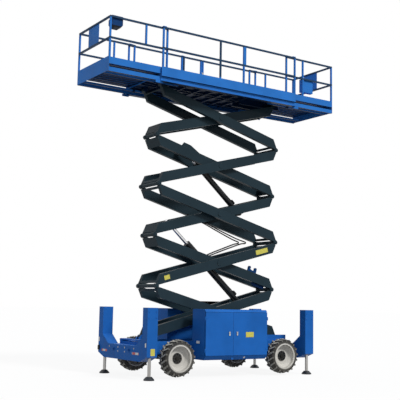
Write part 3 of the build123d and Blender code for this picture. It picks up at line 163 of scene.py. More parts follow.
def object_place(tree):
    """The place on the machine, in metres."""
    return tree.nodes.new("ShaderNodeTexCoord").outputs["Object"]


def one_axis(tree, vector, axis):
    """One coordinate of a vector."""
    split = tree.nodes.new("ShaderNodeSeparateXYZ")
    tree.links.new(vector, split.inputs[0])
    return split.outputs[axis]


print("node helpers ready")

# %% [markdown]
# ## A plain studio
#
# One broad sun gives the near side its light and leaves the front faces in soft shade.
# The world fills the shadows. To the camera, to reflections and through glass, the world
# and the floor look white, but they don't light the machine with that white. That is
# what Light Path is for: it tells a shader which kind of ray has arrived.

# %% World, sun and floor
WORLD_FILL = 0.62
WORLD_TINT = (0.93, 0.96, 1, 1)
SUN_STRENGTH = 2.1
SUN_TINT = (1, 0.985, 0.96)
SUN_FROM = Vector((0.32, -1.0, 0.95))
SUN_SOFTNESS = math.radians(12)
FLOOR_SIZE = 400
FLOOR_WHITE_SHARE = 0.90
FLOOR_BOUNCE = 0.30                     # how much light the floor sends back up
FLOOR_SEEN = 0.9                        # and how pale it is where it is seen


def seen_directly(tree):
    """1 for camera, glossy and transmission rays, and 0 for the rays that carry light."""
    path = tree.nodes.new("ShaderNodeLightPath").outputs
    either = calc(tree, "MAXIMUM", path["Is Camera Ray"], path["Is Glossy Ray"])
    return calc(tree, "MAXIMUM", either, path["Is Transmission Ray"])


def mix_shaders(tree, mask, under, over, output_kind):
    """Link under where the mask is 0, and over where it is 1, to the tree's output."""
    mix = tree.nodes.new("ShaderNodeMixShader")
    output = tree.nodes.new(output_kind)
    for index, value in enumerate((mask, under.outputs[0], over.outputs[0])):
        tree.links.new(value, mix.inputs[index])
    tree.links.new(mix.outputs[0], output.inputs["Surface"])


def empty_tree(owner):
    """The node tree of a world or a material, with nothing in it."""
    owner.use_nodes = True
    owner.node_tree.nodes.clear()
    return owner.node_tree


def make_world():
    """White where it is seen, and a weaker pale fill where it only lights."""
    world = bpy.data.worlds.new("studio")
    tree = empty_tree(world)
    fill = tree.nodes.new("ShaderNodeBackground")
    set_inputs(tree, fill, Color=WORLD_TINT, Strength=WORLD_FILL)
    white = tree.nodes.new("ShaderNodeBackground")
    set_inputs(tree, white, Color=(1, 1, 1, 1))
    mix_shaders(tree, seen_directly(tree), fill, white, "ShaderNodeOutputWorld")
    bpy.context.scene.world = world


def make_sun():
    """A broad, soft sun over the near side."""
    light = bpy.data.lights.new("sun", "SUN")
    light.energy = SUN_STRENGTH
    light.angle = SUN_SOFTNESS
    light.color = SUN_TINT
    sun = bpy.data.objects.new("sun", light)
    bpy.context.scene.collection.objects.link(sun)
    sun.rotation_euler = SUN_FROM.to_track_quat("Z", "Y").to_euler()


def make_floor():
    """A pale floor that keeps a soft shadow."""
    bpy.ops.mesh.primitive_plane_add(size=FLOOR_SIZE, location=(0, 0, 0))
    floor = bpy.context.object
    floor.name = "studio_floor"
    material = bpy.data.materials.new("studio_floor")
    tree = empty_tree(material)
    seen = seen_directly(tree)
    matte = tree.nodes.new("ShaderNodeBsdfDiffuse")
    set_inputs(tree, matte, Color=ramp(tree, seen, 0, 1, FLOOR_BOUNCE, FLOOR_SEEN))
    white = tree.nodes.new("ShaderNodeEmission")
    mix_shaders(tree, calc(tree, "MULTIPLY", seen, FLOOR_WHITE_SHARE), matte, white,
                "ShaderNodeOutputMaterial")
    floor.data.materials.append(material)


make_world()
make_sun()
make_floor()
bpy.context.scene.view_settings.view_transform = "Standard"
print("studio ready")

# %% [markdown]
# ## Effects that several finishes share
#
# Painted steel that works outdoors is never one flat colour. Dust settles low down and on
# upward faces, edges lose a little of their paint, and the spray leaves a fine texture.
# On the dark arms the pale rubbed edges are also a painted edge highlight.
# Each of these is built once, as a node group with named sockets, and then placed in a
# material with values of its own. A group gives out only masks and heights: the shader
# itself stays in the material.

# %% Edge wear, dust and paint texture groups
WEAR_RADIUS = 0.006                     # how far paint is rubbed from an edge


def new_group(name, inputs, outputs):
    """An empty shader group of value sockets. Inputs are given with their start values."""
    group = bpy.data.node_groups.new(name, "ShaderNodeTree")
    for label, value in inputs.items():
        socket = group.interface.new_socket(label, in_out="INPUT", socket_type="NodeSocketFloat")
        socket.default_value = value
    for label in outputs:
        group.interface.new_socket(label, in_out="OUTPUT", socket_type="NodeSocketFloat")
    start = group.nodes.new("NodeGroupInput")
    end = group.nodes.new("NodeGroupOutput")
    return group, start.outputs, end


def make_edge_wear():
    """1 where an edge sticks out and the paint is rubbed, in broken patches; with a pale colour under
    it, as on the arms, also a painted edge highlight.
    """
    group, start, end = new_group("edge_wear", {"Amount": 0.5, "Patch Scale": 14.0}, ["Mask"])
    bevel = group.nodes.new("ShaderNodeBevel")
    bevel.samples = 4
    set_inputs(group, bevel, Radius=WEAR_RADIUS)
    geometry = group.nodes.new("ShaderNodeNewGeometry")
    turn = group.nodes.new("ShaderNodeVectorMath")
    turn.operation = "DOT_PRODUCT"
    group.links.new(bevel.outputs["Normal"], turn.inputs[0])
    group.links.new(geometry.outputs["Normal"], turn.inputs[1])
    edge = ramp(group, turn.outputs["Value"], 0.80, 0.985, 1, 0)
    patch = noise(group, object_place(group), start["Patch Scale"], 5, 0.62)
    wear_and_highlight = calc(group, "MULTIPLY", edge, ramp(group, patch, 0.46, 0.62))
    set_inputs(group, end, Mask=calc(group, "MULTIPLY", wear_and_highlight, start["Amount"]))
    return group


def make_dust():
    """Dust that thickens towards the ground and on faces that look up."""
    amounts = {"Ground Height": 1.0, "Low Amount": 0.4, "Top Amount": 0.2}
    group, start, end = new_group("dust", amounts, ["Mask"])
    place = object_place(group)
    height = calc(group, "DIVIDE", one_axis(group, place, "Z"), start["Ground Height"])
    low = calc(group, "MULTIPLY", ramp(group, height, 0.0, 1.0, 1, 0), start["Low Amount"])
    normal = group.nodes.new("ShaderNodeNewGeometry").outputs["Normal"]
    top = ramp(group, one_axis(group, normal, "Z"), 0.55, 0.98)
    top = calc(group, "MULTIPLY", top, start["Top Amount"])
    cloud = ramp(group, noise(group, place, 3.1, 6, 0.6), 0.30, 0.72)
    grain = ramp(group, noise(group, place, 60, 2, 0.6), 0.2, 0.8, 0.65, 1)
    both = calc(group, "MULTIPLY", calc(group, "ADD", low, top), cloud)
    mask = calc(group, "MULTIPLY", both, grain)
    set_inputs(group, end, Mask=calc(group, "MINIMUM", mask, 1.0))
    return group


def make_spray_texture():
    """The fine orange peel of sprayed paint, and the slow change of shade over a panel."""
    group, start, end = new_group("spray_texture", {"Peel Scale": 240.0}, ["Height", "Shade"])
    place = object_place(group)
    set_inputs(group, end, Height=noise(group, place, start["Peel Scale"], 1.5),
               Shade=noise(group, place, 1.3, 4, 0.55))
    return group


EDGE_WEAR_AND_HIGHLIGHT = make_edge_wear()
DUST = make_dust()
SPRAY_TEXTURE = make_spray_texture()
print("groups:", [g.name for g in bpy.data.node_groups])

# %% [markdown]
# ## Finishes
#
# Every finish starts from the Principled shader. What is the same all over a surface, such
# as its coat, is set on the shader itself. What changes over the surface comes from the
# shared groups: worn edges show primer or bare steel, dust lightens and roughens the
# paint, and a slow change of shade keeps a broad panel from looking flat.

# %% Material helpers
DUST_COLOUR = (0.32, 0.28, 0.22)
PAINT_SPECULAR = 0.04
PAINT_COAT_ROUGHNESS = 0.12
SHADE_RANGE = 0.10
PEEL_STRENGTH = 0.04
PEEL_DEPTH = 0.002
ROUGHNESS_SPREAD = 0.05
ROUGHNESS_LIMIT = 0.95
DUST_ROUGHENS = 0.4
WEAR_ROUGHENS = 0.2


def place_group(tree, group, **values):
    """Put a group in a material and set its inputs."""
    node = tree.nodes.new("ShaderNodeGroup")
    node.node_tree = group
    set_inputs(tree, node, **values)
    return node.outputs


def mix_colour(tree, mask, under, over):
    """Under where the mask is 0, and over where it is 1. Each is a socket or a colour."""
    node = tree.nodes.new("ShaderNodeMix")
    node.data_type = "RGBA"
    tree.links.new(mask, node.inputs["Factor"])
    for label, value in (("A", under), ("B", over)):
        socket = [s for s in node.inputs if s.name == label and s.type == "RGBA"][0]
        feed(tree, (*value, 1) if isinstance(value, tuple) else value, socket)
    return [s for s in node.outputs if s.type == "RGBA"][0]


def new_material(name):
    """A material, its tree and its shader."""
    material = bpy.data.materials.new(name)
    material.use_nodes = True
    return material, material.node_tree, material.node_tree.nodes["Principled BSDF"]


def tinted(colour, factor):
    """A colour made lighter or darker."""
    return tuple(min(1.0, channel * factor) for channel in colour)


def dusted(tree, base, amounts, colour=DUST_COLOUR):
    """A colour under dust, and the dust's mask. The amounts are its height, low and top."""
    height, low, top = amounts
    mask = place_group(tree, DUST, Ground_Height=height, Low_Amount=low, Top_Amount=top)["Mask"]
    return mix_colour(tree, mask, base, colour), mask


def relief(tree, height, strength, distance):
    """The normal of a finely uneven surface, from its height."""
    bump = tree.nodes.new("ShaderNodeBump")
    set_inputs(tree, bump, Height=height, Strength=strength, Distance=distance)
    return bump.outputs["Normal"]


def make_paint(name, colour, roughness, coat, wear, under_paint, dust_amounts, zones=()):
    """Sprayed paint over steel, with worn edges and dust. A zone is a mask maker and its colour."""
    material, tree, shader = new_material(name)
    spray = place_group(tree, SPRAY_TEXTURE)
    wear_and_highlight = place_group(tree, EDGE_WEAR_AND_HIGHLIGHT, Amount=wear)["Mask"]
    shade = ramp(tree, spray["Shade"], 0.3, 0.7)
    base = mix_colour(tree, shade, tinted(colour, 1 - SHADE_RANGE), tinted(colour, 1 + SHADE_RANGE))
    for make_zone, zone_colour in zones:
        base = mix_colour(tree, make_zone(tree), base, zone_colour)
    base = mix_colour(tree, wear_and_highlight, base, under_paint)
    base, dust = dusted(tree, base, dust_amounts)
    rough = ramp(tree, spray["Shade"], 0.25, 0.75, roughness - ROUGHNESS_SPREAD,
                 roughness + ROUGHNESS_SPREAD)
    rough = calc(tree, "ADD", rough, calc(tree, "MULTIPLY", dust, DUST_ROUGHENS))
    rough = calc(tree, "ADD", rough, calc(tree, "MULTIPLY", wear_and_highlight, WEAR_ROUGHENS))
    coat_left = calc(tree, "SUBTRACT", 1.0, calc(tree, "MAXIMUM", dust, wear_and_highlight))
    set_inputs(tree, shader, Base_Color=base, Roughness=calc(tree, "MINIMUM", rough, ROUGHNESS_LIMIT),
               Specular_IOR_Level=PAINT_SPECULAR, Coat_Roughness=PAINT_COAT_ROUGHNESS,
               Coat_Weight=calc(tree, "MULTIPLY", coat_left, coat),
               Normal=relief(tree, spray["Height"], PEEL_STRENGTH, PEEL_DEPTH))
    return material


print("material helpers ready")

# %% Zones of another colour on one imported piece, some of them painted shade
TREAD_DEPTH = 0.032
FOOT_TOP = 0.082                        # of the black foot pads
TOE_HEIGHT = 0.170                      # of the toe boards, over the floor
RAIL_SIZE = 0.040
MID_RAIL_HEIGHT = 0.620                 # over the floor

TYRE_LOW, TYRE_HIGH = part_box("near_rear_tyre")
TYRE_RADIUS = (TYRE_HIGH[2] - TYRE_LOW[2]) / 2
TYRE_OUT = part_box("far_rear_tyre")[1][1]
TREAD_RADIUS = TYRE_RADIUS - TREAD_DEPTH
AXLE_X, _, AXLE_Z = middle_of("near_rear_tyre")
DECK_LOW, DECK_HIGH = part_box("main_deck")
TOE_TOP = DECK_HIGH[2]
FLOOR_TOP = TOE_TOP - TOE_HEIGHT
RAIL_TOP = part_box("rear_extension")[1][2]
MID_RAIL = FLOOR_TOP + MID_RAIL_HEIGHT
THIN_POSTS = (DECK_LOW[0] - 0.400, -0.336)          # X on the front extension and the main rail


def axis_value(tree, axis):
    """One coordinate of the place on the machine."""
    return one_axis(tree, object_place(tree), axis)


def between(tree, value, low, high):
    """1 between two values, and 0 outside them."""
    over = calc(tree, "GREATER_THAN", value, low)
    return calc(tree, "MULTIPLY", over, calc(tree, "LESS_THAN", value, high))


def height_band(low, high):
    """A zone between two heights."""
    return lambda tree: between(tree, axis_value(tree, "Z"), low, high)


def under_height(high):
    """A zone of the faces that look down, below a height, for the painted shade under the deck."""
    def make(tree):
        normal = tree.nodes.new("ShaderNodeNewGeometry").outputs["True Normal"]
        down = calc(tree, "LESS_THAN", one_axis(tree, normal, "Z"), -0.5)
        return calc(tree, "MULTIPLY", down, calc(tree, "LESS_THAN", axis_value(tree, "Z"), high))
    return make


def wheel_disc(low, high):
    """A ring round each axle, between two radii."""
    def make(tree):
        along = calc(tree, "SUBTRACT", calc(tree, "ABSOLUTE", axis_value(tree, "X")), AXLE_X)
        up = calc(tree, "SUBTRACT", axis_value(tree, "Z"), AXLE_Z)
        squares = [calc(tree, "MULTIPLY", value, value) for value in (along, up)]
        return between(tree, calc(tree, "SQRT", calc(tree, "ADD", *squares)), low, high)
    return make


def post_zone(x):
    """A zone round the thin posts at one place along the deck, above the toe boards, for their painted
    shade.
    """
    def make(tree):
        half = RAIL_SIZE / 2 + 0.001
        along = between(tree, axis_value(tree, "X"), x - half, x + half)
        above = between(tree, axis_value(tree, "Z"), TOE_TOP + 0.03, RAIL_TOP)
        return calc(tree, "MULTIPLY", along, above)
    return make


print("axles at", round(AXLE_X, 3), round(AXLE_Z, 3), " floor at", round(FLOOR_TOP, 3))

# %% Paints
PRIMER = (0.20, 0.20, 0.19)
BLUE = (0.015, 0.124, 0.45)
DECK_BLUE = (0.026, 0.175, 0.56)
DARK_BLUE = (0.006, 0.045, 0.16)
# near-black navy under the deck: painted shade
SHADED_UNDERSIDE_BLUE = (0.004, 0.018, 0.060)
# slate for the rails and thin posts: painted shade of their undersides in shadow
SHADED_RAIL_SLATE = (0.021, 0.056, 0.115)
NEAR_BLACK = (0.010, 0.014, 0.020)
CASE_LOW, CASE_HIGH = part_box("control_box")
HUB_RADIUS = 0.122

ZONES = {
    "deck_paint": (
        # slate bands on the top rail, the mid rail and the thin posts are painted shade
        (height_band(RAIL_TOP - RAIL_SIZE - 0.002, RAIL_TOP + 0.002), SHADED_RAIL_SLATE),
        (height_band(MID_RAIL - RAIL_SIZE / 2 - 0.001, MID_RAIL + RAIL_SIZE / 2 + 0.001), SHADED_RAIL_SLATE),
        *((post_zone(x), SHADED_RAIL_SLATE) for x in THIN_POSTS),
        # faces that look down under the floor go dark navy: painted shade
        (under_height(FLOOR_TOP + 0.1), SHADED_UNDERSIDE_BLUE)),
    "rim_paint": ((wheel_disc(0, HUB_RADIUS), NEAR_BLACK),),
    "control_case": ((height_band(CASE_LOW[2] - 0.01, CASE_LOW[2] + 0.045), NEAR_BLACK),),
}
# colour, roughness, coat, wear, what shows where it is worn, and the dust's height, low and top
PAINTS = {
    "blue_paint": (BLUE, 0.42, 0.03, 0.35, PRIMER, (0.80, 0.02, 0.05)),
    "deck_paint": (DECK_BLUE, 0.42, 0.04, 0.5, PRIMER, (0.80, 0.08, 0.06)),
    # the arms' pale worn edges are partly a painted edge highlight
    "arm_paint": ((0.017, 0.033, 0.044), 0.44, 0.06, 0.9, (0.16, 0.17, 0.17), (0.9, 0.2, 0.22)),
    "rim_paint": ((0.60, 0.585, 0.55), 0.40, 0.2, 0.4, PRIMER, (0.85, 0.40, 0.2)),
    "cylinder_paint": ((0.008, 0.010, 0.012), 0.38, 0.3, 0.5, PRIMER, (0.9, 0.2, 0.2)),
    "black_metal": ((0.008, 0.009, 0.010), 0.5, 0.1, 0.5, (0.12, 0.11, 0.10), (1.0, 0.15, 0.20)),
    # the deck's underframe in the same dark navy: painted shade
    "under_paint": (SHADED_UNDERSIDE_BLUE, 0.5, 0.0, 0.5, (0.10, 0.11, 0.12), (0.8, 0.1, 0.2)),
    "control_case": (DARK_BLUE, 0.4, 0.06, 0.3, PRIMER, (0.9, 0.1, 0.1)),
}
MATERIALS = {name: make_paint(name, *values, zones=ZONES.get(name, ()))
             for name, values in PAINTS.items()}
print("paints:", sorted(MATERIALS))

# %% [markdown]
# ## Bare metals and rubber
#
# The outrigger legs and the cylinder rods are ground steel. A rod is chromed and stays
# bright, while a leg is dull and streaked along its length. Rubber is nearly black, matte,
# and takes the dust of the ground in its tread. Its paler lugs are also a painted highlight.

# %% Bare metals and rubber
STREAK_STRETCH = 0.04                   # the noise's scale along the part, against across it
STREAK_RELIEF = 0.0005


def make_metal(name, colour, roughness, streak_scale, streak_depth, pads=False):
    """Ground steel with fine streaks along the part, over black foot pads if it has any."""
    material, tree, shader = new_material(name)
    stretch = tree.nodes.new("ShaderNodeMapping")
    set_inputs(tree, stretch, Vector=object_place(tree), Scale=(1, 1, STREAK_STRETCH))
    streaks = noise(tree, stretch.outputs["Vector"], streak_scale, 4, 0.6)
    base = mix_colour(tree, ramp(tree, streaks, 0.3, 0.7), tinted(colour, 0.82), tinted(colour, 1.1))
    base, dust = dusted(tree, base, (0.5, 0.35, 0.15))
    bare = calc(tree, "SUBTRACT", 1.0, dust)
    if pads:
        foot = between(tree, axis_value(tree, "Z"), -1.0, FOOT_TOP)
        base = mix_colour(tree, foot, base, NEAR_BLACK)
        bare = calc(tree, "MULTIPLY", bare, calc(tree, "SUBTRACT", 1.0, foot))
    rough = ramp(tree, streaks, 0.2, 0.8, roughness * 0.75, roughness * 1.25)
    set_inputs(tree, shader, Base_Color=base, Roughness=rough, Metallic=bare,
               Normal=relief(tree, streaks, streak_depth, STREAK_RELIEF))
    return material


def make_rubber():
    """Tyre rubber, with dust low down, and pale scuffed lugs that are also a painted highlight."""
    material, tree, shader = new_material("tyre")
    place = object_place(tree)
    patches = ramp(tree, noise(tree, place, 9, 5, 0.6), 0.3, 0.7)
    base = mix_colour(tree, patches, (0.009, 0.009, 0.010), (0.022, 0.021, 0.020))
    base, _ = dusted(tree, base, (1.15, 0.55, 0.25), (0.14, 0.125, 0.105))
    # pale lug faces: dust and scuffs, with a painted highlight where light catches the lugs
    tread = wheel_disc(TREAD_RADIUS + 0.010, TREAD_RADIUS + 0.1)(tree)
    side = calc(tree, "ABSOLUTE", axis_value(tree, "Y"))
    lug_ends = between(tree, side, TYRE_OUT - 0.003, TYRE_OUT + 0.01)
    tread = calc(tree, "MAXIMUM", tread, calc(tree, "MULTIPLY", lug_ends, 0.25))
    scuffs_and_highlight = ramp(tree, noise(tree, place, 34, 4, 0.6), 0.30, 0.56, 0.45, 1)
    base = mix_colour(tree, calc(tree, "MULTIPLY", tread, scuffs_and_highlight), base, (0.47, 0.46, 0.41))
    set_inputs(tree, shader, Base_Color=base, Roughness=ramp(tree, patches, 0, 1, 0.68, 0.88),
               Normal=relief(tree, noise(tree, place, 180, 4, 0.65), 0.25, 0.001))
    return material


MATERIALS["steel"] = make_metal("steel", (0.40, 0.395, 0.385), 0.42, 60, 0.15, pads=True)
MATERIALS["chrome"] = make_metal("chrome", (0.78, 0.78, 0.79), 0.13, 40, 0.03)
MATERIALS["tyre"] = make_rubber()
print("materials:", sorted(MATERIALS))

# %% [markdown]
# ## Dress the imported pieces
#
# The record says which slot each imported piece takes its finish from, so dressing them is
# one loop. The prop and the pieces of the deck wear a finish of their own in place of it.
# Only the material slots change: the mesh itself is left alone.

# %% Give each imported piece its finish
FINISH_OF = {part["node"]: part["material_slot"] for part in frame["record"]["subparts"]}
# the deck's underframe takes the dark navy of painted shade under the deck
# the prop takes the console's darker blue: painted shade on its shaded lobes
FINISH_OF.update({"maintenance_prop": "control_case", "deck_underframe": "under_paint"})
DECK_PIECES = ("main_deck", "main_rails", "front_extension", "rear_extension", "entry_gate")
FINISH_OF.update(dict.fromkeys(DECK_PIECES, "deck_paint"))
for node, finish in FINISH_OF.items():
    data = frame["nodes"][node].data
    data.materials.clear()
    data.materials.append(MATERIALS[finish])
print("dressed:", len(FINISH_OF), "pieces")

# %% [markdown]
# ## Helpers for modelling by operators
#
# New pieces are made as by hand: a primitive is added at its size, then inset, extruded,
# bevelled or moved in edit mode. An operator works on everything that is selected, so the
# helpers deselect first and then pick faces in code, by where they are or where they look.
# Places go into the mesh, so a finished object always sits at the origin.

# %% Selecting and face work
FLAT_SHARE = 0.9                        # how squarely a face looks a way, to count as facing it


def object_mode():
    """Leave edit mode."""
    bpy.ops.object.mode_set(mode="OBJECT")


def deselect():
    """Nothing selected, in object mode."""
    if bpy.context.object and bpy.context.object.mode != "OBJECT":
        object_mode()
    bpy.ops.object.select_all(action="DESELECT")


def choose(*pieces):
    """Only these pieces selected, in object mode, with the first one active."""
    deselect()
    for piece in pieces:
        piece.select_set(True)
    bpy.context.view_layer.objects.active = pieces[0]


def pick_faces(piece, test):
    """Select the faces whose middle and normal pass a test, and enter edit mode."""
    object_mode()
    bpy.context.tool_settings.mesh_select_mode = (False, False, True)
    for part in (*piece.data.vertices, *piece.data.edges, *piece.data.polygons):
        part.select = False
    for face in piece.data.polygons:
        face.select = test(face.center, face.normal)
    bpy.ops.object.mode_set(mode="EDIT")


def pick_all():
    """Enter edit mode with the whole mesh selected."""
    bpy.ops.object.mode_set(mode="EDIT")
    bpy.ops.mesh.select_all(action="SELECT")


def bevel_all(edge, segments):
    """Round every edge of the active piece."""
    pick_all()
    bpy.ops.mesh.bevel(offset=edge, segments=segments, affect="EDGES")
    object_mode()


def work_face(piece, facing, border, push=0.0, rise=0.0, least=FLAT_SHARE):
    """Inset the faces that look one way. Then push their middle, or raise it on new walls."""
    facing = Vector(facing)
    pick_faces(piece, lambda middle, normal: normal.dot(facing) > least)
    bpy.ops.mesh.inset(thickness=border)
    if push:
        bpy.ops.transform.translate(value=facing * push)
    if rise:
        bpy.ops.mesh.extrude_region_move(TRANSFORM_OT_translate={"value": tuple(facing * rise)})
    object_mode()


print("selecting and face work ready")

# %% Boxes, discs, tubes and copies
WELD_DISTANCE = 0.00002
TUBE_ROUNDNESS = 2
TUBE_STEPS = 8


def shaped(name, edge, segments):
    """Name the new primitive, put its place and size in its mesh, and round its edges."""
    piece = bpy.context.object
    piece.name = name
    bpy.ops.object.transform_apply(location=True, rotation=True, scale=True)
    if edge:
        bevel_all(edge, segments)
    return piece


def add_box(name, low, high, edge=0.0, segments=2):
    """A box between two corners."""
    deselect()
    centre = [(a + b) / 2 for a, b in zip(low, high)]
    bpy.ops.mesh.primitive_cube_add(size=1, location=centre)
    bpy.context.object.scale = [b - a for a, b in zip(low, high)]
    return shaped(name, edge, segments)


def add_disc(name, centre, axis, radius, depth, sides=32, edge=0.0, segments=1):
    """A short cylinder about a centre, along "X", "Y" or "Z"."""
    deselect()
    turn = {"X": (0, math.pi / 2, 0), "Y": (math.pi / 2, 0, 0), "Z": (0, 0, 0)}[axis]
    bpy.ops.mesh.primitive_cylinder_add(vertices=sides, radius=radius, depth=depth,
                                        location=centre, rotation=turn)
    return shaped(name, edge, segments)


def finished(piece, material, body=None, smooth=40):
    """Smooth the shallow edges, give the finish and ride on a body."""
    choose(piece)
    bpy.ops.object.shade_smooth_by_angle(angle=math.radians(smooth))
    piece.data.materials.clear()
    piece.data.materials.append(material)
    if body:
        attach(piece, body)


def copy_of(piece, name, matrix):
    """A copy with its own mesh, moved by a matrix that goes into the mesh."""
    twin = piece.copy()
    twin.data = piece.data.copy()
    twin.name = name
    bpy.context.scene.collection.objects.link(twin)
    twin.data.transform(matrix)
    return twin


def face_outwards(piece):
    """Weld doubled points and turn every face outwards."""
    choose(piece)
    pick_all()
    bpy.ops.mesh.remove_doubles(threshold=WELD_DISTANCE)
    bpy.ops.mesh.normals_make_consistent(inside=False)
    object_mode()


def joined(name, parts):
    """Several meshes as one piece."""
    choose(*parts)
    bpy.ops.object.join()
    bpy.context.object.name = name
    return bpy.context.object


def tube(name, points, radius):
    """A hose or pipe along given points, as a mesh."""
    curve = bpy.data.curves.new(name, "CURVE")
    curve.dimensions = "3D"
    curve.bevel_depth = radius
    curve.bevel_resolution = TUBE_ROUNDNESS
    curve.use_fill_caps = True
    curve.resolution_u = TUBE_STEPS
    spline = curve.splines.new("NURBS")
    spline.points.add(len(points) - 1)
    for point, place in zip(spline.points, points):
        point.co = (*place, 1)
    spline.order_u = 3
    spline.use_endpoint_u = True
    piece = bpy.data.objects.new(name, curve)
    bpy.context.scene.collection.objects.link(piece)
    choose(piece)
    bpy.ops.object.convert(target="MESH")
    return bpy.context.object


print("modelling helpers ready")

# %% [markdown]
# ## Wheels
#
# A rough-terrain tyre is a round carcass with tall bars of rubber that run from the middle
# of the tread over the shoulder, slanted one way on each half and half a pitch apart. The
# packed tyre has that shape with flat sides. The dressed one starts as a cylinder with many
# sides: its shoulders are bevelled, its sides are inset into rings, and the hole for the
# rim is made by bridging the two innermost rings. One bar is then shaped from a box and
# copied all the way round.

# %% Tyre body and one bar
TYRE_HALF = (TYRE_HIGH[1] - TYRE_LOW[1]) / 2
RIM_LOW, RIM_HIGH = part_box("near_rear_rim")
RIM_RADIUS = (RIM_HIGH[2] - RIM_LOW[2]) / 2
CARCASS_HALF = TYRE_HALF - 0.006
CARCASS_SIDES = 72
SHOULDER = 0.05
BEAD_GAP = 0.002                        # between the tyre's hole and the rim's lip
WALL_RINGS = ((0.28, 0), (0.20, 0.004), (0.34, 0), (0.18, -0.006))      # share of the wall, depth
LUGS_EACH_SIDE = 18
LUG_WIDTH = 0.046
LUG_SLANT = 0.070
LUG_ROOT = TREAD_RADIUS - 0.010
LUG_TOP = TYRE_RADIUS - 0.004
LUG_FOOT = 0.345                        # how far down the side a bar reaches
FLIP = Matrix.Scale(-1, 4, (0, 1, 0))


def off_axle(place):
    """Distance from the wheel's axle line."""
    return math.hypot(place.x, place.z)


def make_carcass():
    """The tyre's body about the origin, with ringed sides and a hole for the rim."""
    body = add_disc("carcass", (0, 0, 0), "Y", TREAD_RADIUS, CARCASS_HALF * 2, CARCASS_SIDES)
    pick_faces(body, lambda middle, normal: abs(normal.y) > FLAT_SHARE)
    bpy.ops.mesh.bevel(offset=SHOULDER, segments=4, affect="EDGES")
    wall = TREAD_RADIUS - SHOULDER - RIM_RADIUS - BEAD_GAP
    for side in (-1, 1):
        pick_faces(body, lambda middle, normal: normal.y * side > FLAT_SHARE and off_axle(middle) < 0.01)
        for share, depth in WALL_RINGS:
            bpy.ops.mesh.inset(thickness=wall * share, depth=depth)
    pick_faces(body, lambda middle, normal: abs(normal.y) > FLAT_SHARE and off_axle(middle) < 0.01)
    bpy.ops.mesh.delete(type="ONLY_FACE")
    bpy.ops.mesh.select_all(action="DESELECT")
    bpy.ops.mesh.select_mode(type="EDGE")
    bpy.ops.mesh.select_non_manifold()
    bpy.ops.mesh.bridge_edge_loops()
    object_mode()
    return body


def make_lug():
    """One slanted bar on the outer half of the tread, at the top of the tyre."""
    lug = add_box("lug", (-LUG_WIDTH / 2, -0.012, LUG_ROOT), (LUG_WIDTH / 2, TYRE_HALF, LUG_TOP))
    pick_faces(lug, lambda middle, normal: normal.y > FLAT_SHARE)
    bpy.ops.transform.translate(value=(LUG_SLANT, 0, 0))
    bpy.ops.transform.resize(value=(0.86, 1, 1), center_override=(LUG_SLANT, TYRE_HALF, LUG_TOP))
    object_mode()
    for corner in lug.data.vertices:
        if corner.co.y > TYRE_HALF - 0.001:
            corner.co.z = LUG_TOP - 0.020 if corner.co.z > LUG_TOP - 0.001 else LUG_FOOT
    lug.data.transform(Matrix.Translation((-LUG_SLANT / 2, 0, 0)))
    face_outwards(lug)
    bevel_all(0.004, 1)
    return lug


print("tread radius:", round(TREAD_RADIUS, 3), " rim radius:", round(RIM_RADIUS, 3))

# %% Four whole tyres


def turned(step):
    """A turn about the axle by some of the lugs' pitch."""
    return Matrix.Rotation(math.tau * step / LUGS_EACH_SIDE, 4, "Y")


def make_tyre():
    """A whole tyre about the origin, its outer side towards +Y."""
    parts = [make_carcass()]
    lug = make_lug()
    for index in range(LUGS_EACH_SIDE):
        parts.append(copy_of(lug, "lug_out", turned(index)))
        parts.append(copy_of(lug, "lug_in", turned(index + 0.5) @ FLIP))
    bpy.data.objects.remove(lug)
    tyre = joined("tyre_pattern", parts)
    face_outwards(tyre)
    return tyre


def on_every_wheel(pattern, ending, material, smooth):
    """Copies of a pattern on the four wheels, outer side out. The pattern is then removed."""
    pieces = {}
    for wheel in ("near_front", "near_rear", "far_front", "far_rear"):
        outwards = FLIP if wheel.startswith("near") else Matrix.Identity(4)
        place = Matrix.Translation(middle_of(f"{wheel}_tyre")) @ outwards
        piece = copy_of(pattern, f"{wheel}_{ending}", place)
        if wheel.startswith("near"):
            face_outwards(piece)
        finished(piece, material, f"{wheel}_wheel", smooth)
        pieces[wheel] = piece
    bpy.data.objects.remove(pattern)
    return pieces


TYRES = on_every_wheel(make_tyre(), "lugged_tyre", MATERIALS["tyre"], 30)
for wheel, tyre in TYRES.items():
    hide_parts(f"{wheel}_tyre")
print("faces in one tyre:", len(TYRES["near_front"].data.polygons))

# %% Wheel nuts and hub cap
HUB_FACE = TYRE_HALF - 0.13             # the hub's face, from the tyre's middle plane
NUT_CIRCLE = 0.086
NUT_RADIUS = 0.016
NUT_HEIGHT = 0.014
NUT_COUNT = 8
CAP_RADIUS = 0.052
CAP_HEIGHT = 0.024


def make_hub_set():
    """A ring of nuts on their studs round a domed cap, about the origin."""
    nut = add_disc("nut", (0, HUB_FACE + NUT_HEIGHT / 2, NUT_CIRCLE), "Y", NUT_RADIUS, NUT_HEIGHT,
                   sides=6, edge=0.0015)
    work_face(nut, (0, 1, 0), border=0.006, rise=0.010)
    parts = [add_disc("cap", (0, HUB_FACE + CAP_HEIGHT / 2, 0), "Y", CAP_RADIUS, CAP_HEIGHT,
                      edge=0.006, segments=3)]
    for index in range(NUT_COUNT):
        turn = Matrix.Rotation(math.tau * index / NUT_COUNT, 4, "Y")
        parts.append(copy_of(nut, "nut_copy", turn))
    bpy.data.objects.remove(nut)
    return joined("hub_set_pattern", parts)


HUB_SETS = on_every_wheel(make_hub_set(), "wheel_nuts", MATERIALS["black_metal"], 40)
print("hub sets:", len(HUB_SETS))

# %% [markdown]
# ## Labels, tapes and small fittings
#
# Blank plates stand where such machines carry their stickers: nothing is written on them.
# Each one is a thin sheet whose front is inset and sunk a little, to leave a border. It is
# made level at the origin and then turned to its face, or to the slope of its arm.

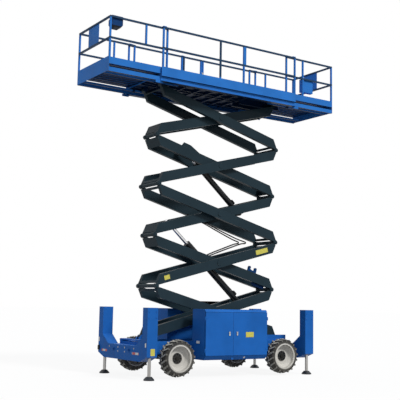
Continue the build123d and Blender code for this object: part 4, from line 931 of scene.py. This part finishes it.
# %% Finishes for small pieces
PLAIN_SPECULAR = 0.3
TAPE_BLOCK = 0.26                       # one red and one white block together
TAPE_ROUGHNESS = 0.35


def make_plain(name, colour, roughness, metallic=0.0):
    """A smooth printed or moulded finish that still changes a little over its surface."""
    material, tree, shader = new_material(name)
    cloud = ramp(tree, noise(tree, object_place(tree), 23, 5, 0.6), 0.3, 0.7)
    base = mix_colour(tree, cloud, tinted(colour, 0.86), tinted(colour, 1.08))
    base, _ = dusted(tree, base, (0.9, 0.25, 0.10))
    rough = ramp(tree, cloud, 0, 1, roughness - 0.06, roughness + 0.06)
    set_inputs(tree, shader, Base_Color=base, Roughness=rough, Metallic=metallic,
               Specular_IOR_Level=PLAIN_SPECULAR)
    return material


def make_tape():
    """Reflective tape in red and white blocks along Y."""
    material, tree, shader = new_material("reflective_tape")
    blocks = calc(tree, "FRACT", calc(tree, "MULTIPLY", axis_value(tree, "Y"), 1 / TAPE_BLOCK))
    red = calc(tree, "GREATER_THAN", blocks, 0.5)
    base = mix_colour(tree, red, (0.62, 0.62, 0.64), (0.50, 0.02, 0.02))
    base, _ = dusted(tree, base, (0.9, 0.4, 0.1))
    set_inputs(tree, shader, Base_Color=base, Roughness=TAPE_ROUGHNESS)
    return material


YELLOW = make_plain("yellow_plate", (0.62, 0.56, 0.10), 0.42)
PALE = make_plain("pale_plate", (0.84, 0.84, 0.81), 0.42)
RED = make_plain("red_plastic", (0.50, 0.015, 0.012), 0.35)
BLACK_PLASTIC = make_plain("black_plastic", (0.012, 0.012, 0.013), 0.5)
HOSE = make_plain("hose_rubber", (0.010, 0.010, 0.011), 0.62)
ZINC = make_plain("zinc", (0.42, 0.42, 0.41), 0.38, metallic=0.9)
TAPE = make_tape()
print("small finishes ready")

# %% Blank plates
PLATE_THICK = 0.0016
PLATE_BORDER = 0.08                     # share of the plate's shorter side
DOOR_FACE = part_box("near_front_door")[0][1]
END_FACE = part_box("near_housing")[0][0]
BUMPER_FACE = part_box("front_outrigger_beam")[0][0]
POST_X, POST_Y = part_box("near_front_post")[0][:2]
SIDE, FRONT = (0, -1, 0), (-1, 0, 0)
LOW_BEVEL = (0, -0.095, -0.080)         # square to the bevel under the housing's doors


def plate(name, centre, facing, width, height, material, body="chassis"):
    """A thin plate against a face. Its width runs level and its height runs up."""
    flat = Vector(facing).normalized()
    across = Vector((0, 0, 1)).cross(flat).normalized()
    piece = add_box(name, (-width / 2, -height / 2, 0), (width / 2, height / 2, PLATE_THICK))
    work_face(piece, (0, 0, 1), min(width, height) * PLATE_BORDER, push=-PLATE_THICK * 0.3)
    piece.data.transform(placed(Vector(centre), across, flat.cross(across), flat))
    finished(piece, material, body)


plate("door_plate", (0.435, DOOR_FACE, 0.975), SIDE, 0.23, 0.12, YELLOW, "near_rear_door")
plate("housing_spot_plate", (0.30, DOOR_FACE + 0.040, 0.4475), LOW_BEVEL, 0.045, 0.045, PALE)
plate("post_side_plate", (-2.232, POST_Y, 0.605), SIDE, 0.11, 0.15, YELLOW)
plate("post_front_plate", (POST_X, -1.09, 0.756), FRONT, 0.05, 0.09, PALE)
plate("far_post_plate", (POST_X, 1.11, 0.80), FRONT, 0.05, 0.10, PALE)
plate("housing_end_plate", (END_FACE, -0.83, 0.80), FRONT, 0.13, 0.06, PALE)
plate("far_tape", (BUMPER_FACE, 0.83, 0.555), FRONT, 0.26, 0.05, TAPE)
plate("near_tape", (BUMPER_FACE, -0.65, 0.555), FRONT, 0.30, 0.05, TAPE)
print("blank plates on a door and the chassis: 8")

# %% [markdown]
# ## The scissor's own fittings
#
# Each arm's middle line passes a set distance from the pins at its two ends, so that the
# stack folds flat. The slope comes from the joints' places, and a point on an arm is then
# given by how far along and above that line it lies, as a welder would mark it.

# %% Points on the arms
JOINTS = {joint["name"]: joint for joint in frame["record"]["behaviour"]["joints"]}
KNUCKLE_X = abs(JOINTS["knuckle_1"]["pos_m"][0])
HALF_RISE = (JOINTS["knuckle_2"]["pos_m"][2] - JOINTS["knuckle_1"]["pos_m"][2]) / 2
PIN_OFFSET = 0.125
OUTER_FACE = 0.441
SLOPE = math.atan2(HALF_RISE, KNUCKLE_X) - math.asin(PIN_OFFSET / math.hypot(KNUCKLE_X, HALF_RISE))
ACROSS = Vector((0, 1, 0))


def arm_matrix(kind, stage):
    """Turns along (x), out (y) and above (z) on an arm into a place on the machine."""
    rises_back = (kind == "inner") == (stage % 2 == 1)
    back = 1 if rises_back else -1
    along = Vector((math.cos(SLOPE) * back, 0, math.sin(SLOPE)))
    above = Vector((-along.z, 0, along.x)) * back
    return placed(Vector(JOINTS[f"cross_{stage}"]["pos_m"]), along, ACROSS, above)


def arm_plate(name, stage, start, end, height):
    """A blank plate on the near face of an outer arm, between two places along it."""
    low = (start, -OUTER_FACE - PLATE_THICK, -height / 2)
    piece = add_box(name, low, (end, -OUTER_FACE, height / 2))
    work_face(piece, (0, -1, 0), height * PLATE_BORDER, push=-0.0005)
    piece.data.transform(arm_matrix("outer", stage))
    face_outwards(piece)
    finished(piece, YELLOW, f"outer_arms_{stage}")


arm_plate("arm_plate_rear", 2, 1.15, 1.53, 0.115)
arm_plate("arm_plate_front", 2, -1.60, -1.45, 0.10)
print("slope of the arms:", round(math.degrees(SLOPE), 2), "degrees")

# %% [markdown]
# ## Hoses that cross a folding joint
#
# Two hydraulic hoses run down the far outer arm of the third stage, turn back in a wide
# bend and go on along the arm below. Each is one smooth curve made a mesh. They lie in the
# gap between an outer and an inner arm, and small clips hold them to the outer arm.

# %% Hoses between the second and third stages
HOSE_RADIUS = 0.017
CLIP_FACE = OUTER_FACE - 0.100          # the outer arm's inner face
INNER_ARM_FACE = 0.303
HOSE_LANE = (CLIP_FACE + INNER_ARM_FACE) / 2
CLIP_HALF, PAD_HALF = 0.022, 0.030      # along the arm
CLIP_SPAN = (0.095, 0.174)              # from the arm's middle line
PAD_SPAN = (0.092, 0.112)
UPPER = arm_matrix("outer", 3)
LOWER = arm_matrix("outer", 2)
# each hose by its marks (along, above) on the upper arm, its bend (x, z), and the lower arm
HOSE_ROUTES = {
    "outer": (
        ((0.44, -0.120), (0.20, -0.120), (0.05, -0.120), (-0.12, -0.126), (-0.50, -0.170),
         (-1.01, -0.206), (-1.20, -0.214)),
        ((1.290, 3.292), (1.350, 3.280), (1.356, 3.245), (1.290, 3.238)),
        ((1.306, 0.238), (1.09, 0.221), (0.81, 0.200), (0.50, 0.172), (0.21, 0.142),
         (0.05, 0.120), (-0.26, 0.120))),
    "inner": (
        ((0.44, -0.155), (0.20, -0.155), (0.05, -0.155), (-0.12, -0.162), (-0.45, -0.208),
         (-0.90, -0.258), (-1.05, -0.272)),
        ((1.060, 3.285), (1.122, 3.272), (1.128, 3.238), (1.065, 3.224)),
        ((1.108, 0.274), (0.90, 0.256), (0.63, 0.230), (0.36, 0.205), (0.19, 0.180),
         (0.06, 0.155), (-0.26, 0.155))),
}


def in_lane(marks, matrix=Matrix.Identity(4)):
    """Places in the hose lane from marks on an arm, or on the machine."""
    return [matrix @ Vector((along, HOSE_LANE, above)) for along, above in marks]


for name, (upper, bend, lower) in HOSE_ROUTES.items():
    points = [*in_lane(upper, UPPER), *in_lane(bend), *in_lane(lower, LOWER)]
    hose = tube(f"scissor_hose_{name}", points, HOSE_RADIUS)
    finished(hose, HOSE)
    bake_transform(hose)


def hose_clip(name, matrix, along, high, body):
    """A clip round both hoses on an outer arm's inner face, with a pad against the arm."""
    low, top = sorted(high * mark for mark in CLIP_SPAN)
    clip = add_box(name, (along - CLIP_HALF, HOSE_LANE - 0.0182, low),
                   (along + CLIP_HALF, CLIP_FACE - 0.0012, top), edge=0.004)
    for end in (-1, 1):
        work_face(clip, (end, 0, 0), border=0.006)
    low, top = sorted(high * mark for mark in PAD_SPAN)
    pad = add_box("pad", (along - PAD_HALF, CLIP_FACE - 0.004, low),
                  (along + PAD_HALF, CLIP_FACE, top), edge=0.001)
    clip = joined(name, [clip, pad])
    clip.data.transform(matrix)
    face_outwards(clip)
    finished(clip, MATERIALS["black_metal"], body)


hose_clip("upper_hose_clip", UPPER, 0.42, -1, "outer_arms_3")
hose_clip("upper_hose_clip_middle", UPPER, 0.14, -1, "outer_arms_3")
hose_clip("lower_hose_clip", LOWER, -0.22, 1, "outer_arms_2")
print("scissor hoses:", len(HOSE_ROUTES))

# %% Valve block and pipe on each lift cylinder
BLOCK_START, BLOCK_END = 0.24, 0.36     # along the barrel from its base pin
BLOCK_HALF = 0.035
PIPE_RADIUS = 0.009


def cylinder_matrix(name):
    """Along the barrel from its base pin (x), across (y), and away from it (z)."""
    along = Vector(JOINTS[f"{name}_stroke"]["axis"]).normalized()
    away = along.cross(ACROSS)
    if away.z < 0:
        away = -away
    return placed(Vector(JOINTS[f"{name}_pivot"]["pos_m"]), along, ACROSS, away)


def cylinder_fittings(name, radius, length):
    """A ported block on the barrel's back, and the pipe from it to the gland."""
    block = add_box(f"{name}_valve_block", (BLOCK_START, -BLOCK_HALF, radius - 0.012),
                    (BLOCK_END, BLOCK_HALF, radius + 0.040))
    work_face(block, (0, 0, 1), border=0.012, push=0.012)
    ports = [add_disc("port", (along, -0.043, radius + 0.014), "Y", 0.013, 0.020, 6, edge=0.002)
             for along in (0.27, 0.33)]
    route = ((BLOCK_END, 0.020), (0.42, 0.020), (0.50, 0.016), (0.60, 0.014), (length * 0.6, 0.014),
             (length - 0.16, 0.014), (length - 0.08, 0.013), (length - 0.045, -0.006))
    pipe = tube("pipe", [(along, 0, radius + above) for along, above in route], PIPE_RADIUS)
    piece = joined(f"{name}_cylinder_fittings", [block, *ports, pipe])
    piece.data.transform(cylinder_matrix(f"{name}_cylinder"))
    face_outwards(piece)
    finished(piece, MATERIALS["black_metal"], f"{name}_cylinder_barrel")


cylinder_fittings("lower", 0.075, 2.15)
cylinder_fittings("upper", 0.065, 1.73)
print("cylinder fittings: 2")

# %% [markdown]
# ## Outrigger and chassis fittings
#
# Two pressure hoses leave each near outrigger post through its inner face and follow the
# gusset down to the saddle. The far front post carries a small lamp, and the posts and
# bumpers a few bolt heads, all copies of one six-sided head with a washer under it.

# %% Hoses on the bumper's gussets
GUSSET_HOSE_RADIUS = 0.011
GUSSET_HOSE_SETBACKS = (0.095, 0.140)   # from the bumper's outer face
GUSSET_MARKS = ((0.945, 0.985), (0.915, 0.985), (0.885, 0.960), (0.845, 0.905), (0.790, 0.860),
                (0.735, 0.815), (0.690, 0.775), (0.650, 0.742), (0.600, 0.733), (0.540, 0.733))

for end, word in ((-1, "front"), (1, "rear")):
    hoses = []
    for setback in GUSSET_HOSE_SETBACKS:
        x = end * (-BUMPER_FACE - setback)
        hoses.append(tube("gusset_hose", [(x, -y, z) for y, z in GUSSET_MARKS], GUSSET_HOSE_RADIUS))
    finished(joined(f"gusset_hoses_{word}_near", hoses), HOSE, "chassis")
print("gusset hoses at the front and the rear")

# %% Bolt heads
BOLT_RADIUS = 0.011
BOLT_HEIGHT = 0.008
WASHER_RADIUS = BOLT_RADIUS * 1.7
WASHER_THICK = 0.002


def bolt_pattern():
    """A bolt head on its washer, looking along +Y from the origin."""
    washer = add_disc("washer", (0, WASHER_THICK / 2, 0), "Y", WASHER_RADIUS, WASHER_THICK, 20)
    head_middle = (0, WASHER_THICK + BOLT_HEIGHT / 2, 0)
    hexagon = add_disc("hexagon", head_middle, "Y", BOLT_RADIUS, BOLT_HEIGHT, 6, edge=0.001)
    return joined("bolt_pattern", [washer, hexagon])


def bolts(name, places, facing, material):
    """Copies of the bolt head at places on a face, as one piece."""
    pattern = bolt_pattern()
    turn = ACROSS.rotation_difference(Vector(facing)).to_matrix().to_4x4()
    heads = [copy_of(pattern, "bolt", Matrix.Translation(Vector(place)) @ turn) for place in places]
    bpy.data.objects.remove(pattern)
    finished(joined(name, heads), material, "chassis")


for end, name in ((-1, "front"), (1, "rear")):
    places = [(-end * BUMPER_FACE, side * y, z) for side in (-1, 1)
              for y, z in ((0.16, 0.66), (0.16, 0.57), (0.58, 0.66))]
    bolts(f"{name}_bumper_bolts", places, (end, 0, 0), ZINC)
    for side, word in ((-1, "near"), (1, "far")):
        low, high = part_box(f"{word}_{name}_post")
        x = middle_of(f"{word}_{name}_post").x
        y = low[1] if side < 0 else high[1]
        caps = [(x + shift, y, high[2] - drop) for shift in (-0.09, 0.09) for drop in (0.09, 0.22)]
        bolts(f"{word}_{name}_post_bolts", caps, (0, side, 0), MATERIALS["blue_paint"])
print("bolt sets: 6")

# %% Lamp on the far post and a grip on each near door
SQUARE_ON = 0.95                        # leaves out the bevels beside a face
GRIP_HALF = 0.020

lamp = add_box("far_front_lamp", (POST_X - 0.030, 1.065, 0.55), (POST_X, 1.135, 0.66), 0.008, 3)
work_face(lamp, FRONT, border=0.006, push=-0.006, least=SQUARE_ON)
finished(lamp, BLACK_PLASTIC, "chassis")
for word, x in (("near_front", -0.150), ("near_rear", 0.070)):
    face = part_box(f"{word}_door")[0][1]
    grip = add_box(f"{word}_door_grip", (x - GRIP_HALF, face - 0.010, 0.955),
                   (x + GRIP_HALF, face + 0.001, 1.045), 0.004)
    work_face(grip, SIDE, border=0.009, push=-0.006, least=SQUARE_ON)
    finished(grip, ZINC, f"{word}_door")
print("lamp and grips ready")

# %% [markdown]
# ## Platform controls
#
# The console hangs inside the front end of the near rail. Its sloped panel carries a
# joystick in a rubber boot, a few round knobs and a red stop button, and its foot is dark.
# The boot is a cone of stacked rings, made by extruding a disc upwards and shrinking it
# each time.

# %% Joystick, knobs and stop button
CASE_CENTRE = middle_of("control_box")
PANEL_FLAT = 0.040                      # flat top between the rail and the slope
PANEL_FALL = 0.090
PANEL_TURN = math.atan2(PANEL_FALL, CASE_HIGH[1] - CASE_LOW[1] - PANEL_FLAT)
# each turned shape as rings of (radius, height), from the panel upwards
BOOT = ((0.034, 0.004), (0.034, 0.002), (0.024, 0.008), (0.026, 0.003), (0.018, 0.008),
        (0.019, 0.003), (0.007, 0.008), (0.006, 0.004))
STOP = ((0.024, 0.006), (0.012, 0.001), (0.012, 0.010), (0.020, 0.002), (0.020, 0.008),
        (0.014, 0.004))
KNOB = ((0.013, 0.003), (0.009, 0.001), (0.009, 0.012), (0.007, 0.002))


def stacked(rings, sides=24):
    """A turned shape from a disc that is extruded upwards and resized, ring by ring."""
    radius, height = rings[0]
    piece = add_disc("stack", (0, 0, height / 2), "Z", radius, height, sides)
    for next_radius, rise in rings[1:]:
        pick_faces(piece, lambda middle, normal: normal.z > FLAT_SHARE and middle.z > height - 0.0001)
        bpy.ops.mesh.extrude_region_move(TRANSFORM_OT_translate={"value": (0, 0, rise)})
        height += rise
        share = next_radius / radius
        bpy.ops.transform.resize(value=(share, share, 1), center_override=(0, 0, height))
        radius = next_radius
    object_mode()
    return piece


def on_panel(name, piece, x, down, material=BLACK_PLASTIC):
    """Put a small piece on the sloped panel: beside its middle, and a distance down the slope."""
    place = Vector((CASE_CENTRE.x + x, CASE_LOW[1] + PANEL_FLAT, CASE_HIGH[2]))
    place += Vector((0, math.cos(PANEL_TURN), -math.sin(PANEL_TURN))) * down
    piece.name = name
    piece.data.transform(Matrix.Translation(place) @ Matrix.Rotation(-PANEL_TURN, 4, "X"))
    finished(piece, material, "front_extension")


on_panel("joystick_boot", stacked(BOOT), 0.06, 0.075)
on_panel("stop_button", stacked(STOP), -0.09, 0.050, RED)
for index, x in enumerate((-0.05, -0.015, 0.02)):
    on_panel(f"panel_knob_{index + 1}", stacked(KNOB, 16), x, 0.115)
sheet = add_box("panel_sheet", (-0.115, 0.012, 0), (0.115, 0.145, 0.0012))
work_face(sheet, (0, 0, 1), border=0.004)
on_panel("panel_sheet", sheet, 0, 0)
for index, drop in enumerate((0.09, 0.16)):
    centre = (CASE_LOW[0], CASE_CENTRE.y - 0.02, CASE_HIGH[2] - drop)
    plate(f"console_side_plate_{index + 1}", centre, FRONT, 0.05, 0.03, PALE, "front_extension")
print("panel slope:", round(math.degrees(PANEL_TURN), 1), "degrees")

# %% Gate latch
GATE_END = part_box("entry_gate")[1][0]
LATCH_Y = middle_of("entry_gate").y - 0.0205
LATCH_LOW, LATCH_TOP = 7.62, 7.72
latch = add_box("gate_latch", (GATE_END + 0.002, LATCH_Y - 0.0075, LATCH_LOW),
                (GATE_END + 0.050, LATCH_Y, LATCH_TOP), 0.002)
work_face(latch, SIDE, border=0.008, rise=0.010)
finished(latch, ZINC, "platform")
print("gate latch ready")
